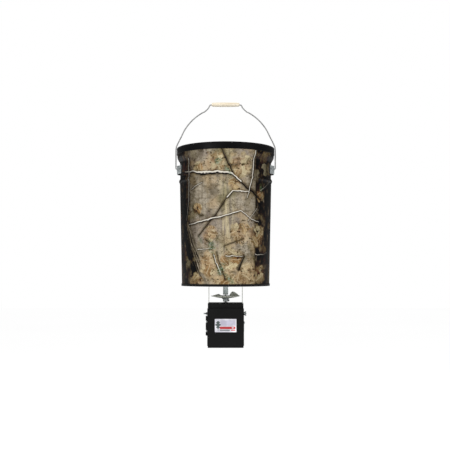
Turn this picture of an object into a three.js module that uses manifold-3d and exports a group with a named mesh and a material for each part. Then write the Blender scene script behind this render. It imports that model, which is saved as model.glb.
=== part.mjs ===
// Hanging broadcast game feeder: a lidded steel pail on a wire bail, with a drop tube, a motor-driven
// spinner plate and a control box under it. Millimetres, +Z up. The origin is the centre of the grip,
// where a hook or rope holds the feeder, and -Y is the side with the control box door.

import * as THREE from 'three';
import { mergeVertices } from 'three/addons/utils/BufferGeometryUtils.js';
import Module from 'manifold-3d';

const wasm = await Module();
wasm.setup();

// ---- driving dimensions ----

const GAP = 0.4;                     // clearance between touching pieces
const PAIL_SIDES = 40;               // facets round the pail, its lid and its seals
const ROUND_SIDES = 16;              // facets round a turned piece
const SMALL_SIDES = 8;               // facets round a fastener

const PAIL_BASE_DROP = 572.4;        // grip centre down to the pail's lower rim
const SHEET = 0.8;                   // pail wall
const BASE_RADIUS = 136.4;           // wall outside at the bottom seam
const SHOULDER_RADIUS = 143.4;       // wall outside just under the collar
const COLLAR_RADIUS = 151.9;         // flared collar that the lid caps
const WALL_TOP = 426.5;
const BEAD_HEIGHT = 326.4;
const BEAD_RISE = 3;

const LID_RADIUS = 153.9;
const LID_TOP = 430.4;
const LID_SKIRT = 21.2;
const LID_SHEET = 1.4;

const WIRE_RADIUS = 2;
const PIVOT_HEIGHT = 365.8;          // bail pivot above the pail's lower rim
const BAIL_ARC_RADIUS = 150;
const BAIL_ARC_DROP = 157;           // arc centre below the grip
const LEG_SPLAY = 156.9;             // wire beside the lid, from the pail's axis
const GRIP_LENGTH = 88;
const GRIP_RADIUS = 7;
const GRIP_BORE = 3.4;

const EAR_FACE = 153;                // outside of the ear's bridge, from the pail's axis
const EAR_SHEET = 1.5;
const EAR_HEIGHT = 26;
const EAR_LOW = 349.4;
const EAR_FOOT_ANGLE = THREE.MathUtils.degToRad(13.5);
const EAR_FOOT_FACE = 144.8;         // outside of the ear's feet, along their own normal
const RIVET_HEIGHT = EAR_LOW + EAR_HEIGHT / 2;

const TUBE_RADIUS = 8;
const TUBE_BORE = 6;
const TUBE_END = -27.6;              // mouth below the pail's lower rim

const KIT_DROP = 53.6;               // pail's lower rim down to the control box top
const BOX_HALF_WIDTH = 54.5;
const BOX_HALF_DEPTH = 54;
const BOX_HEIGHT = 134;
const BOX_SHEET = 1.2;

const STRAP_FACE = 52.9;             // outside of each hanger strap
const STRAP_SHEET = 1.5;
const STRAP_WIDTH = 26;
const STRAP_BOLT_X = 66;
const CLAMP_HEIGHT = -33;            // side bolts, below the box top

const DOOR_HALF_WIDTH = 56;
const DOOR_TOP = -14;
const DOOR_BOTTOM = -128;
const DOOR_SHEET = 1.2;
const DOOR_FRONT = -57.2;
const HINGE_X = -58.3;
const HINGE_Y = -47;
const HINGE_RADIUS = 2.7;
const LATCH_Y = -22;
const LATCH_HEIGHT = -59;
const LATCH_REACH = 22;

const SPINNER_RADIUS = 45.5;
const SPINNER_TOP = 16.4;            // plate's flat centre, above the box top
const SPINNER_SHEET = 1.2;
const SPINNER_DISH = 6;
const FIN_TOPS = [36, 28, 28, 28];  // one tall fin and three low ones, 90 degrees apart
const SHAFT_RADIUS = 3;

const TIMER_HALF_WIDTH = 31;
const TIMER_FRONT = -50;
const TIMER_BACK = -30.4;
const TIMER_TOP = -26;
const TIMER_BOTTOM = -68;
const BUTTON_RADIUS = 3.4;
const BUTTON_HEIGHT = -56;

const BATTERY_HALF_WIDTH = 35;
const BATTERY_HALF_LENGTH = 50.5;
const BATTERY_BOTTOM = -132.4;
const BATTERY_TALL = 47;

// ---- materials ----

const finish = (color, roughness, metalness) =>
    new THREE.MeshStandardMaterial({ color, roughness, metalness });

const camoPaint = () => finish(0x8a7a66, 0.45, 0.1);
const blackPaint = () => finish(0x111112, 0.5, 0.2);
const zincPlate = () => finish(0x9aa3a6, 0.4, 0.9);
const galvanised = () => finish(0x8d9288, 0.5, 0.85);
const brightSteel = () => finish(0xb8bcc0, 0.3, 1.0);
const paleWood = () => finish(0xe6d6b4, 0.6, 0);
const paleTube = () => finish(0xbfcac9, 0.4, 0);
const blackRubber = () => finish(0x151515, 0.9, 0);
const darkPlastic = () => finish(0x1c1d20, 0.55, 0);
const paleLabel = () => finish(0xe8e6ee, 0.5, 0);

// ---- shape helpers ----

const feeder = new THREE.Group();

function add(parent, name, geometry, material) {
    const mesh = new THREE.Mesh(geometry, material);
    mesh.name = name;
    parent.add(mesh);
    return mesh;
}

function toSolid(geometry) {
    const bare = geometry.clone();
    bare.deleteAttribute('normal');
    bare.deleteAttribute('uv');
    const merged = mergeVertices(bare, 1e-4);
    const vertProperties = new Float32Array(merged.attributes.position.array);
    const triVerts = new Uint32Array(merged.index.array);
    return new wasm.Manifold(new wasm.Mesh({ numProp: 3, vertProperties, triVerts }));
}

function toGeometry(solid) {
    const { vertProperties, triVerts } = solid.getMesh();
    const geometry = new THREE.BufferGeometry();
    geometry.setAttribute('position', new THREE.BufferAttribute(vertProperties, 3));
    geometry.setIndex(new THREE.BufferAttribute(triVerts, 1));
    geometry.computeVertexNormals();
    return geometry;
}

// Joins the first list of geometries, then cuts away the second.
function joinAndCut(joined, cutters = []) {
    let solid = toSolid(joined[0]);
    for (const geometry of joined.slice(1)) solid = solid.add(toSolid(geometry));
    for (const geometry of cutters) solid = solid.subtract(toSolid(geometry));
    return toGeometry(solid);
}

// A block between two opposite corners.
function block(low, high) {
    const size = high.map((value, i) => value - low[i]);
    const middle = high.map((value, i) => (value + low[i]) / 2);
    return new THREE.BoxGeometry(...size).translate(...middle);
}

// A turned piece about Z. The profile is a list of [radius, height], anticlockwise.
function turned(profile, sides = ROUND_SIDES) {
    const points = profile.map(([radius, height]) => new THREE.Vector2(radius, height));
    return new THREE.LatheGeometry(points, sides).rotateX(Math.PI / 2);
}

// A turned ring: its profile closes on itself.
function ring(profile, sides = ROUND_SIDES) {
    return turned([...profile, profile[0]], sides);
}

function rod(radius, low, high, sides = SMALL_SIDES) {
    return turned([[0, low], [radius, low], [radius, high], [0, high]], sides);
}

// Turns a piece made about Z so that its axis lies along X or Y.
const alongX = (geometry) => geometry.rotateY(Math.PI / 2);
const alongY = (geometry) => geometry.rotateX(-Math.PI / 2);

function shapeOf(points) {
    return new THREE.Shape(points.map(([x, y]) => new THREE.Vector2(x, y)));
}

// An outline in the XY plane, raised from one height to another.
function raised(shape, low, high, curveSegments = 6) {
    const options = { depth: high - low, bevelEnabled: false, curveSegments };
    return new THREE.ExtrudeGeometry(shape, options).translate(0, 0, low);
}

// An outline in the XZ plane, as thick as the stretch of Y.
function acrossY(shape, low, high, curveSegments = 6) {
    return raised(shape, -high, -low, curveSegments).rotateX(Math.PI / 2);
}

// An outline in the YZ plane, as thick as the stretch of X.
function acrossX(shape, low, high, curveSegments = 6) {
    const turn = new THREE.Matrix4().makeBasis(
        new THREE.Vector3(0, 1, 0), new THREE.Vector3(0, 0, 1), new THREE.Vector3(1, 0, 0));
    return raised(shape, low, high, curveSegments).applyMatrix4(turn);
}

function roundedShape(halfWidth, halfHeight, radius) {
    const shape = new THREE.Shape();
    shape.absarc(halfWidth - radius, halfHeight - radius, radius, 0, Math.PI / 2);
    shape.absarc(radius - halfWidth, halfHeight - radius, radius, Math.PI / 2, Math.PI);
    shape.absarc(radius - halfWidth, radius - halfHeight, radius, Math.PI, Math.PI * 1.5);
    shape.absarc(halfWidth - radius, radius - halfHeight, radius, Math.PI * 1.5, Math.PI * 2);
    return shape;
}

// A round cord or wire along a smooth curve through the points.
function cord(points, radius, steps) {
    const places = points.map((p) => new THREE.Vector3(...p));
    const curve = new THREE.CatmullRomCurve3(places, false, 'centripetal');
    const section = new THREE.Shape().absarc(0, 0, radius, 0, Math.PI * 2);
    const options = { extrudePath: curve, steps, curveSegments: 4, bevelEnabled: false };
    return new THREE.ExtrudeGeometry(section, options);
}

// A rivet or bolt about Z, pointing up: head outside, shank, and an optional formed head inside.
function fastener({ head, headHeight, seat, shank, end, tail = shank, tailHeight = 0 }) {
    const profile = [[0, end - tailHeight], [tail, end - tailHeight]];
    if (tailHeight > 0) profile.push([tail, end], [shank, end]);
    profile.push([shank, seat], [head, seat], [head, seat + headHeight * 0.5]);
    profile.push([head * 0.7, seat + headHeight], [0, seat + headHeight]);
    return turned(profile, SMALL_SIDES);
}

// ---- wire bail and grip ----

const bail = new THREE.Group();
feeder.add(bail);

const pivotDrop = PIVOT_HEIGHT - PAIL_BASE_DROP;

function bailHalf() {
    const points = [[LEG_SPLAY, 0, pivotDrop], [LEG_SPLAY, 0, pivotDrop + 28], [LEG_SPLAY - 0.2, 0, -143]];
    points.push([152.6, 0, -128]);
    const lowest = Math.asin((BAIL_ARC_DROP - 100) / BAIL_ARC_RADIUS);
    const highest = Math.asin((BAIL_ARC_DROP - 22) / BAIL_ARC_RADIUS);
    for (let i = 0; i <= 6; i += 1) {
        const angle = lowest + (highest - lowest) * (i / 6);
        const height = BAIL_ARC_RADIUS * Math.sin(angle) - BAIL_ARC_DROP;
        points.push([BAIL_ARC_RADIUS * Math.cos(angle), 0, height]);
    }
    points.push([55, 0, -12], [49.5, 0, -2.2], [45, 0, -1.1], [24, 0, -1.1]);
    return points;
}

function bailWire() {
    const right = bailHalf();
    const left = right.map(([x, y, z]) => [-x, y, z]).reverse();
    const pieces = [cord([...right, ...left], WIRE_RADIUS, 74)];
    for (const side of [-1, 1]) {
        const pin = alongX(rod(WIRE_RADIUS, 146.5, LEG_SPLAY));
        const elbow = new THREE.SphereGeometry(WIRE_RADIUS * 1.03, 8, 6).translate(LEG_SPLAY, 0, 0);
        for (const piece of [pin, elbow]) {
            pieces.push(piece.rotateZ(side < 0 ? Math.PI : 0).translate(0, 0, pivotDrop));
        }
    }
    return joinAndCut(pieces);
}

add(bail, 'bail_wire', bailWire(), zincPlate());

const gripEnd = GRIP_LENGTH / 2;
const gripProfile = [
    [GRIP_BORE, -gripEnd], [GRIP_RADIUS - 1.9, -gripEnd], [GRIP_RADIUS - 0.9, -gripEnd + 1.5],
    [GRIP_RADIUS, 0],
    [GRIP_RADIUS - 0.9, gripEnd - 1.5], [GRIP_RADIUS - 1.9, gripEnd], [GRIP_BORE, gripEnd],
];
add(bail, 'bail_grip', alongX(ring(gripProfile)), paleWood());

// ---- pail: heights are above its lower rim ----

const pail = new THREE.Group();
pail.position.z = -PAIL_BASE_DROP;
feeder.add(pail);

// The wall's outside from the bottom seam up to the collar, as [radius, height].
const wallOutside = [
    [BASE_RADIUS, 1.4], [143.4, 309.4], [143.6, BEAD_HEIGHT - 7], [143.8 + BEAD_RISE, BEAD_HEIGHT - 2.5],
    [142.3 + BEAD_RISE, BEAD_HEIGHT + 2.5], [142.6, BEAD_HEIGHT + 7], [SHOULDER_RADIUS, 383.4],
    [COLLAR_RADIUS, 401.4],
];
const rim = [
    [COLLAR_RADIUS, WALL_TOP - 3.6], [COLLAR_RADIUS - 0.7, WALL_TOP - 0.7], [COLLAR_RADIUS - 2.4, WALL_TOP],
    [COLLAR_RADIUS - 4.1, WALL_TOP - 0.7], [COLLAR_RADIUS - 4.6, WALL_TOP - 2.4],
    [COLLAR_RADIUS - 4.1, WALL_TOP - 4.1], [COLLAR_RADIUS - SHEET, WALL_TOP - 5.2],
];
const wallInside = wallOutside.map(([radius, height]) => [radius - SHEET, height]).reverse();

const rivetHole = (length) => alongX(rod(2.6, 138, 138 + length)).translate(0, 0, RIVET_HEIGHT);

// The ear's four foot angles: two beside each of the bail's pivots.
const footAngles = [-EAR_FOOT_ANGLE, EAR_FOOT_ANGLE, Math.PI - EAR_FOOT_ANGLE, Math.PI + EAR_FOOT_ANGLE];

function bucketWall() {
    const shell = ring([...wallOutside, ...rim, ...wallInside], PAIL_SIDES);
    return joinAndCut([shell], footAngles.map((angle) => rivetHole(10).rotateZ(angle)));
}

add(pail, 'bucket_wall', bucketWall(), camoPaint());

// The bottom sheet stands up inside the rim and folds round the wall's lower edge.
function bucketBottom() {
    const profile = [
        [TUBE_RADIUS + 0.6, 6.4], [134, 6.4], [134, 0], [137.4, 0], [138.2, 0.8], [138.2, 7.5], [136.9, 7.5],
        [136.9, 1], [135.2, 1], [135.2, 7.4], [TUBE_RADIUS + 0.6, 7.4],
    ];
    const holes = [-STRAP_BOLT_X, STRAP_BOLT_X].map((x) => rod(2.9, 0, 12).translate(x, 0, 0));
    return joinAndCut([ring(profile, PAIL_SIDES)], holes);
}

add(pail, 'bucket_bottom', bucketBottom(), blackPaint());

const lidInner = LID_RADIUS - LID_SHEET;
const lidLow = LID_TOP - LID_SKIRT;
const lidProfile = [
    [0, LID_TOP - 4.6], [139, LID_TOP - 4.6], [142, LID_TOP - LID_SHEET], [lidInner, LID_TOP - LID_SHEET],
    [lidInner, lidLow], [LID_RADIUS, lidLow], [LID_RADIUS, LID_TOP - 1.2], [LID_RADIUS - 1.3, LID_TOP],
    [141, LID_TOP], [138, LID_TOP - 3.2], [0, LID_TOP - 3.2],
];
add(pail, 'lid', turned(lidProfile, PAIL_SIDES), blackPaint());

const gasketLow = WALL_TOP + GAP;
const gasketHigh = LID_TOP - LID_SHEET - GAP;
const gasketProfile = [[147.6, gasketLow], [151.4, gasketLow], [151.4, gasketHigh], [147.6, gasketHigh]];
add(pail, 'lid_gasket', ring(gasketProfile, PAIL_SIDES), blackRubber());

// ---- ears that carry the bail ----

// A point on the ear's foot: distance out along the foot's normal, and distance along the foot.
function footPoint(out, along) {
    const normal = new THREE.Vector2(Math.cos(EAR_FOOT_ANGLE), Math.sin(EAR_FOOT_ANGLE));
    const tangent = new THREE.Vector2(-normal.y, normal.x);
    return normal.multiplyScalar(out).addScaledVector(tangent, along).toArray();
}

function earSheet() {
    const bridgeInside = EAR_FACE - EAR_SHEET;
    const footInside = EAR_FOOT_FACE - EAR_SHEET;
    const outside = [[EAR_FACE, 13.4], footPoint(EAR_FOOT_FACE, -5), footPoint(EAR_FOOT_FACE, 8.5)];
    const inside = [footPoint(footInside, 8.5), footPoint(footInside, -4.4), [bridgeInside, 12.4]];
    const upper = [...outside, ...inside];
    const lower = upper.map(([x, y]) => [x, -y]).reverse();
    const sheet = raised(shapeOf([...upper, ...lower]), EAR_LOW, EAR_LOW + EAR_HEIGHT);
    const pivotHole = alongX(rod(2.7, 148, 156, 16)).translate(0, 0, PIVOT_HEIGHT);
    const holes = [-EAR_FOOT_ANGLE, EAR_FOOT_ANGLE].map((angle) => rivetHole(10).rotateZ(angle));
    return joinAndCut([sheet], [pivotHole, ...holes]);
}

function earRivet() {
    const seat = EAR_FOOT_FACE + GAP;
    return fastener({ head: 4.6, headHeight: 1.8, seat, shank: 2.2, end: 141.6, tail: 3.8, tailHeight: 1.4 });
}

for (const [side, turn] of [['right', 0], ['left', Math.PI]]) {
    const ear = new THREE.Group();
    ear.rotation.z = turn;
    pail.add(ear);
    add(ear, `${side}_ear`, earSheet(), zincPlate());
    for (const [place, angle] of [['rear', EAR_FOOT_ANGLE], ['front', -EAR_FOOT_ANGLE]]) {
        const name = `${side}_ear_rivet_${turn ? { rear: 'front', front: 'rear' }[place] : place}`;
        const rivet = add(ear, name, alongX(earRivet()), brightSteel());
        rivet.position.z = RIVET_HEIGHT;
        rivet.rotation.z = angle;
    }
}

// ---- drop tube through the pail's bottom ----

const tubeProfile = [
    [TUBE_BORE, TUBE_END], [TUBE_RADIUS, TUBE_END], [TUBE_RADIUS, 7.8], [22, 7.8], [22, 9.4],
    [TUBE_BORE + 2, 9.8], [TUBE_BORE, 8],
];
add(pail, 'drop_tube', ring(tubeProfile), paleTube());

function tubeNut() {
    const nut = rod(15, 1.2, 6, 6);
    return joinAndCut([nut], [rod(TUBE_RADIUS + GAP, 0, 8, ROUND_SIDES)]);
}

add(pail, 'tube_nut', tubeNut(), zincPlate());

// ---- hanger straps from the pail's bottom into the control box ----

const strapLow = -KIT_DROP - 49;
const footTop = 6;

function hangerStrap() {
    const inside = STRAP_FACE - STRAP_SHEET;
    const outline = shapeOf([
        [inside, strapLow], [STRAP_FACE, strapLow], [STRAP_FACE, footTop - STRAP_SHEET - 1],
        [STRAP_FACE + 1, footTop - STRAP_SHEET], [78, footTop - STRAP_SHEET], [78, footTop],
        [inside + 2, footTop], [inside, footTop - 2],
    ]);
    const strap = acrossY(outline, -STRAP_WIDTH / 2, STRAP_WIDTH / 2);
    const footHole = rod(2.9, 0, 12).translate(STRAP_BOLT_X, 0, 0);
    const clampHole = alongX(rod(2.9, 45, 60)).translate(0, 0, CLAMP_HEIGHT - KIT_DROP);
    return joinAndCut([strap], [footHole, clampHole]);
}

function hexNut(across, bore, height) {
    return joinAndCut([rod(across / Math.sqrt(3), 0, height, 6)], [rod(bore, -1, height + 1)]);
}

for (const [side, turn] of [['right', 0], ['left', Math.PI]]) {
    const hanger = new THREE.Group();
    hanger.rotation.z = turn;
    pail.add(hanger);
    add(hanger, `${side}_strap`, hangerStrap(), galvanised());
    const bolt = fastener({ head: 4.8, headHeight: 2.2, seat: 7.4 + GAP, shank: 2.4, end: 0.2 });
    add(hanger, `${side}_strap_bolt`, bolt, zincPlate()).position.x = STRAP_BOLT_X;
    const nut = add(hanger, `${side}_strap_nut`, hexNut(8, 2.75, 3.4), zincPlate());
    nut.position.set(STRAP_BOLT_X, 0, footTop - STRAP_SHEET - GAP - 3.4);
}

// ---- control box: heights are from its top ----

const kit = new THREE.Group();
kit.position.z = -PAIL_BASE_DROP - KIT_DROP;
feeder.add(kit);

const wallInsideX = BOX_HALF_WIDTH - BOX_SHEET;
const wallInsideY = BOX_HALF_DEPTH - BOX_SHEET;

function housing() {
    const outside = block(
        [-BOX_HALF_WIDTH, -BOX_HALF_DEPTH, -BOX_HEIGHT], [BOX_HALF_WIDTH, BOX_HALF_DEPTH, 0]);
    const inside = block(
        [-wallInsideX, -wallInsideY, BOX_SHEET - BOX_HEIGHT], [wallInsideX, wallInsideY, -BOX_SHEET]);
    const doorway = block([-46, -60, -120], [46, -45, -24]);
    const strapSlot = (side) => block([side * 52.2 - 1, -13.5, -5], [side * 52.2 + 1, 13.5, 5]);
    const shaftHole = rod(6, -5, 5, ROUND_SIDES);
    const screwHoles = [-1, 1].map((side) => rod(1.9, -5, 5).translate(side * 12, 0, 0));
    const clampHoles = alongX(rod(3, -60, 60)).translate(0, 0, CLAMP_HEIGHT);
    const latchHole = alongX(rod(2.4, 50, 60)).translate(0, LATCH_Y, LATCH_HEIGHT);
    const slots = [strapSlot(-1), strapSlot(1)];
    const cuts = [inside, doorway, ...slots, shaftHole, ...screwHoles, clampHoles, latchHole];
    return joinAndCut([outside], cuts);
}

add(kit, 'housing', housing(), blackPaint());

// ---- side bolts and wing nuts that clamp the box to its straps ----

// A wing nut about Z, seated at height 0.
function wingNut() {
    const wings = shapeOf([
        [3, 0.6], [5.4, 1.6], [10.6, 6.2], [11, 8.8], [9, 10], [6.8, 8.8], [3.8, 5.4],
        [-3.8, 5.4], [-6.8, 8.8], [-9, 10], [-11, 8.8], [-10.6, 6.2], [-5.4, 1.6], [-3, 0.6],
    ]);
    return joinAndCut([rod(4.3, 0, 6.4), acrossY(wings, -1.1, 1.1)], [rod(2.8, -2, 14)]);
}

const boltTips = { left: 68.6, right: 65 };
const nutTurns = { left: 0, right: THREE.MathUtils.degToRad(32) };

for (const [side, turn] of [['right', 0], ['left', Math.PI]]) {
    const clamp = new THREE.Group();
    clamp.position.z = CLAMP_HEIGHT;
    clamp.rotation.z = turn;
    kit.add(clamp);
    const headInside = STRAP_FACE - STRAP_SHEET - GAP;
    const bolt = [[0, headInside - 3], [4.6, headInside - 3], [4.6, headInside], [2.4, headInside]];
    bolt.push([2.4, boltTips[side] - 0.8], [1.7, boltTips[side]], [0, boltTips[side]]);
    add(clamp, `${side}_clamp_bolt`, alongX(turned(bolt, SMALL_SIDES)), zincPlate());
    const nut = add(clamp, `${side}_wing_nut`, alongX(wingNut().rotateZ(Math.PI / 2)), zincPlate());
    nut.position.x = BOX_HALF_WIDTH + GAP;
    nut.rotation.x = nutTurns[side];
}

// ---- motor under the box top ----

const padProfile = [[-22, -22], [22, -22], [22, 22], [-22, 22]];

function motorPad() {
    const middleHole = rod(8, -9, 0, ROUND_SIDES);
    const screwHoles = [-1, 1].map((side) => rod(1.9, -9, 0).translate(side * 12, 0, 0));
    const sheet = raised(shapeOf(padProfile), -4, -BOX_SHEET - GAP);
    return joinAndCut([sheet], [middleHole, ...screwHoles]);
}

add(kit, 'motor_pad', motorPad(), blackRubber());

const motorTop = -4.4;

function motorCan() {
    const can = turned([
        [0, -44], [16.4, -44], [17, -43], [17, motorTop - 1], [16.4, motorTop], [0, motorTop],
    ]);
    const shaftBore = rod(SHAFT_RADIUS + GAP, -20, 0, ROUND_SIDES);
    const screwBores = [-1, 1].map((side) => rod(1.8, -11, 0).translate(side * 12, 0, 0));
    return joinAndCut([can], [shaftBore, ...screwBores]);
}

add(kit, 'motor', motorCan(), brightSteel());

const capTop = -44 - GAP;
const capProfile = [[0, capTop - 4.6], [11, capTop - 4.6], [16, capTop - 1.5], [16, capTop], [0, capTop]];
add(kit, 'motor_end_cap', turned(capProfile), darkPlastic());

for (const [name, x] of [['motor_screw_left', -12], ['motor_screw_right', 12]]) {
    const screw = fastener({ head: 3, headHeight: 1.9, seat: GAP, shank: 1.45, end: -10 });
    add(kit, name, screw, zincPlate()).position.x = x;
}

// ---- shaft, hub, spinner plate ----

const bushProfile = [
    [SHAFT_RADIUS + GAP, -3], [5.6, -3], [5.6, GAP], [9, GAP], [9, 1.8], [8, 2.8], [SHAFT_RADIUS + GAP, 2.8],
];
add(kit, 'shaft_bush', ring(bushProfile), darkPlastic());

const shaftEnd = SPINNER_TOP - 0.6;
const shaftProfile = [
    [0, -19.5], [SHAFT_RADIUS, -19.5], [SHAFT_RADIUS, shaftEnd - 0.6],
    [SHAFT_RADIUS - 0.6, shaftEnd], [0, shaftEnd],
];
add(kit, 'motor_shaft', turned(shaftProfile), brightSteel());

const screwHeight = 8.4;

function spinnerHub() {
    const plateUnder = SPINNER_TOP - SPINNER_SHEET;
    const hub = ring([
        [SHAFT_RADIUS + GAP, 4.6], [8.6, 4.6], [8.6, plateUnder - 3], [11, plateUnder - 2.6],
        [11, plateUnder - GAP], [5.2, plateUnder - GAP], [5.2, SPINNER_TOP + GAP],
        [6.6, SPINNER_TOP + GAP], [5.8, SPINNER_TOP + 1.3],
        [SHAFT_RADIUS + GAP, SPINNER_TOP + 1.3],
    ]);
    return joinAndCut([hub], [alongX(rod(2.4, 2, 10)).translate(0, 0, screwHeight)]);
}

add(kit, 'spinner_hub', spinnerHub(), zincPlate());

const screwProfile = [
    [0, SHAFT_RADIUS + GAP], [2, SHAFT_RADIUS + GAP], [2, 9], [3.2, 9], [3.2, 11.2], [2.6, 11.8], [0, 11.8],
];
add(kit, 'set_screw', alongX(turned(screwProfile, SMALL_SIDES)), darkPlastic()).position.z = screwHeight;

// The plate rises like a bowl from its flat centre to its rim.
function spinnerPlate() {
    const rimTop = SPINNER_TOP + SPINNER_DISH;
    const bowl = (radius) => SPINNER_TOP + SPINNER_DISH * ((radius - 13) / (SPINNER_RADIUS - 13)) ** 1.3;
    const upper = [SPINNER_RADIUS, 38, 27, 13].map((radius) => [radius, bowl(radius)]);
    const lower = [13, 27, 38, SPINNER_RADIUS].map((radius) => [radius, bowl(radius) - SPINNER_SHEET]);
    const middle = [[5.6, SPINNER_TOP], [5.6, SPINNER_TOP - SPINNER_SHEET]];
    const disc = ring([...lower, ...upper, ...middle], 30);
    const fins = FIN_TOPS.map((top, index) => {
        const fin = new THREE.Shape();
        fin.moveTo(10.5, SPINNER_TOP - 0.7);
        fin.bezierCurveTo(11, top + 1, 24, top + 3, 32, top - 3);
        fin.quadraticCurveTo(39, top - 7, 43.5, rimTop - 0.6);
        fin.lineTo(33, bowl(33) - 0.7);
        fin.lineTo(20, bowl(20) - 0.7);
        return acrossY(fin, -0.6, 0.6).rotateZ((index / FIN_TOPS.length) * Math.PI * 2);
    });
    return joinAndCut([disc, ...fins]);
}

add(kit, 'spinner_plate', spinnerPlate(), galvanised());

// ---- door on its hinge ----

const flangeInside = DOOR_HALF_WIDTH - 1.1;

function door() {
    const returnBack = -BOX_HALF_DEPTH - GAP;
    const sheetBack = DOOR_FRONT + DOOR_SHEET;
    const pan = block([-DOOR_HALF_WIDTH, DOOR_FRONT, DOOR_BOTTOM], [DOOR_HALF_WIDTH, returnBack, DOOR_TOP]);
    const hollow = block(
        [-flangeInside, sheetBack, DOOR_BOTTOM + DOOR_SHEET], [flangeInside, 0, DOOR_TOP - DOOR_SHEET]);
    const rightFlange = block(
        [flangeInside, DOOR_FRONT, DOOR_BOTTOM + 2], [DOOR_HALF_WIDTH, -42, DOOR_TOP - 2]);
    const leftFlange = block(
        [-DOOR_HALF_WIDTH, DOOR_FRONT, DOOR_BOTTOM + 2], [-flangeInside, -50, DOOR_TOP - 2]);
    return joinAndCut([joinAndCut([pan], [hollow]), rightFlange, leftFlange]);
}

add(kit, 'door', door(), blackPaint());

function frameOf(outer, inner, low, high) {
    const shape = shapeOf([
        [-outer.x, outer.low], [outer.x, outer.low], [outer.x, outer.high], [-outer.x, outer.high],
    ]);
    const hole = [
        [-inner.x, inner.low], [-inner.x, inner.high], [inner.x, inner.high], [inner.x, inner.low],
    ];
    shape.holes.push(new THREE.Path(hole.map(([x, y]) => new THREE.Vector2(x, y))));
    return acrossY(shape, low, high);
}

const sealOuter = { x: 52, low: -126, high: -17 };
const sealInner = { x: 47.5, low: -121.5, high: -22.5 };
const sealFront = DOOR_FRONT + DOOR_SHEET + GAP;
add(kit, 'door_gasket', frameOf(sealOuter, sealInner, sealFront, -BOX_HALF_DEPTH - 0.35), blackRubber());

const labelShape = roundedShape(32.9, 20.1, 1.5);
const labelSheet = acrossY(labelShape, DOOR_FRONT - 0.8, DOOR_FRONT - 0.3, 3);
const label = add(kit, 'door_label', labelSheet, paleLabel());
label.position.z = -66;

const knuckles = { top: [-51.6, -38], middle: [-80, -58], bottom: [-96, -86] };

function knuckle([low, high], extra = 0) {
    return rod(HINGE_RADIUS + extra, low, high, 16).translate(HINGE_X, HINGE_Y, 0);
}

const pinBore = rod(1.6, -100, -30, 16).translate(HINGE_X, HINGE_Y, 0);

function housingLeaf() {
    const sheet = block([-56, HINGE_Y + 1, -96], [-BOX_HALF_WIDTH - GAP, HINGE_Y + 22, -38]);
    const arms = [knuckles.top, knuckles.bottom].map(([low, high]) => (
        block([-57, HINGE_Y, low], [-BOX_HALF_WIDTH - GAP - 0.2, HINGE_Y + 2, high])));
    return joinAndCut([sheet, ...arms, knuckle(knuckles.top), knuckle(knuckles.bottom)],
        [pinBore, knuckle([knuckles.middle[0] - GAP, knuckles.middle[1] + GAP], 0.5)]);
}

function doorLeaf() {
    const leafFace = -DOOR_HALF_WIDTH - GAP;
    const sheet = block([leafFace - 1.1, DOOR_FRONT + 0.2, -92], [leafFace, HINGE_Y - 3.4, -42]);
    const arm = block(
        [leafFace - 1.1, HINGE_Y - 4, knuckles.middle[0]], [leafFace, HINGE_Y, knuckles.middle[1]]);
    return joinAndCut([sheet, arm, knuckle(knuckles.middle)], [pinBore]);
}

add(kit, 'housing_hinge_leaf', housingLeaf(), blackPaint());
add(kit, 'door_hinge_leaf', doorLeaf(), blackPaint());

const pinHead = HINGE_RADIUS - 0.5;
const pinProfile = [
    [0, -97.6], [pinHead, -97.6], [pinHead, -96.3], [1.2, -96.3], [1.2, -37.7], [pinHead, -37.7],
    [pinHead, -36.4], [0, -36.4],
];
const hingePin = add(kit, 'hinge_pin', turned(pinProfile, SMALL_SIDES), zincPlate());
hingePin.position.set(HINGE_X, HINGE_Y, 0);

// ---- latch: a flat hook on the box side, turned forward to catch the door's stud ----

const hookFace = DOOR_HALF_WIDTH + 0.3;

const rivetProfile = [
    [0, 51.8], [3.2, 51.8], [3.2, 53], [2, 53], [2, BOX_HALF_WIDTH + 0.3], [3.4, BOX_HALF_WIDTH + 0.3],
    [3.4, hookFace - 0.3], [2, hookFace - 0.3], [2, hookFace + 1.3], [3.8, hookFace + 1.3],
    [3.2, hookFace + 2.1], [0, hookFace + 2.1],
];
const latchRivet = add(kit, 'latch_rivet', alongX(turned(rivetProfile, 16)), brightSteel());
latchRivet.position.set(0, LATCH_Y, LATCH_HEIGHT);

// The hook hangs below its rivet, with its notch on the door's side.
function latchHook() {
    const shape = new THREE.Shape();
    shape.moveTo(4.4, 0);
    shape.absarc(0, 0, 4.4, 0, Math.PI);
    shape.lineTo(-4.4, -LATCH_REACH + 2.7);
    shape.lineTo(0, -LATCH_REACH + 2.7);
    shape.absarc(0, -LATCH_REACH, 2.7, Math.PI / 2, -Math.PI / 2, true);
    shape.lineTo(-4.4, -LATCH_REACH - 2.7);
    shape.lineTo(-3.4, -LATCH_REACH - 5.4);
    shape.lineTo(3.6, -LATCH_REACH - 5.4);
    shape.lineTo(6, -LATCH_REACH - 2.6);
    shape.lineTo(6, -LATCH_REACH + 4);
    const hole = new THREE.Path().absarc(0, 0, 2.4, 0, Math.PI * 2, true);
    shape.holes.push(hole);
    return acrossX(shape, 0, 1, 8);
}

const hook = add(kit, 'latch_hook', latchHook(), zincPlate());
hook.position.set(hookFace, LATCH_Y, LATCH_HEIGHT);

const studProfile = [[0, 0], [2, 0], [2, 1.5], [3.2, 1.5], [2.8, 2.3], [0, 2.3]];
const stud = add(kit, 'latch_stud', alongX(turned(studProfile, SMALL_SIDES)), brightSteel());
stud.position.set(hookFace, LATCH_Y - LATCH_REACH, LATCH_HEIGHT);

// ---- timer on its panel ----

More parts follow.
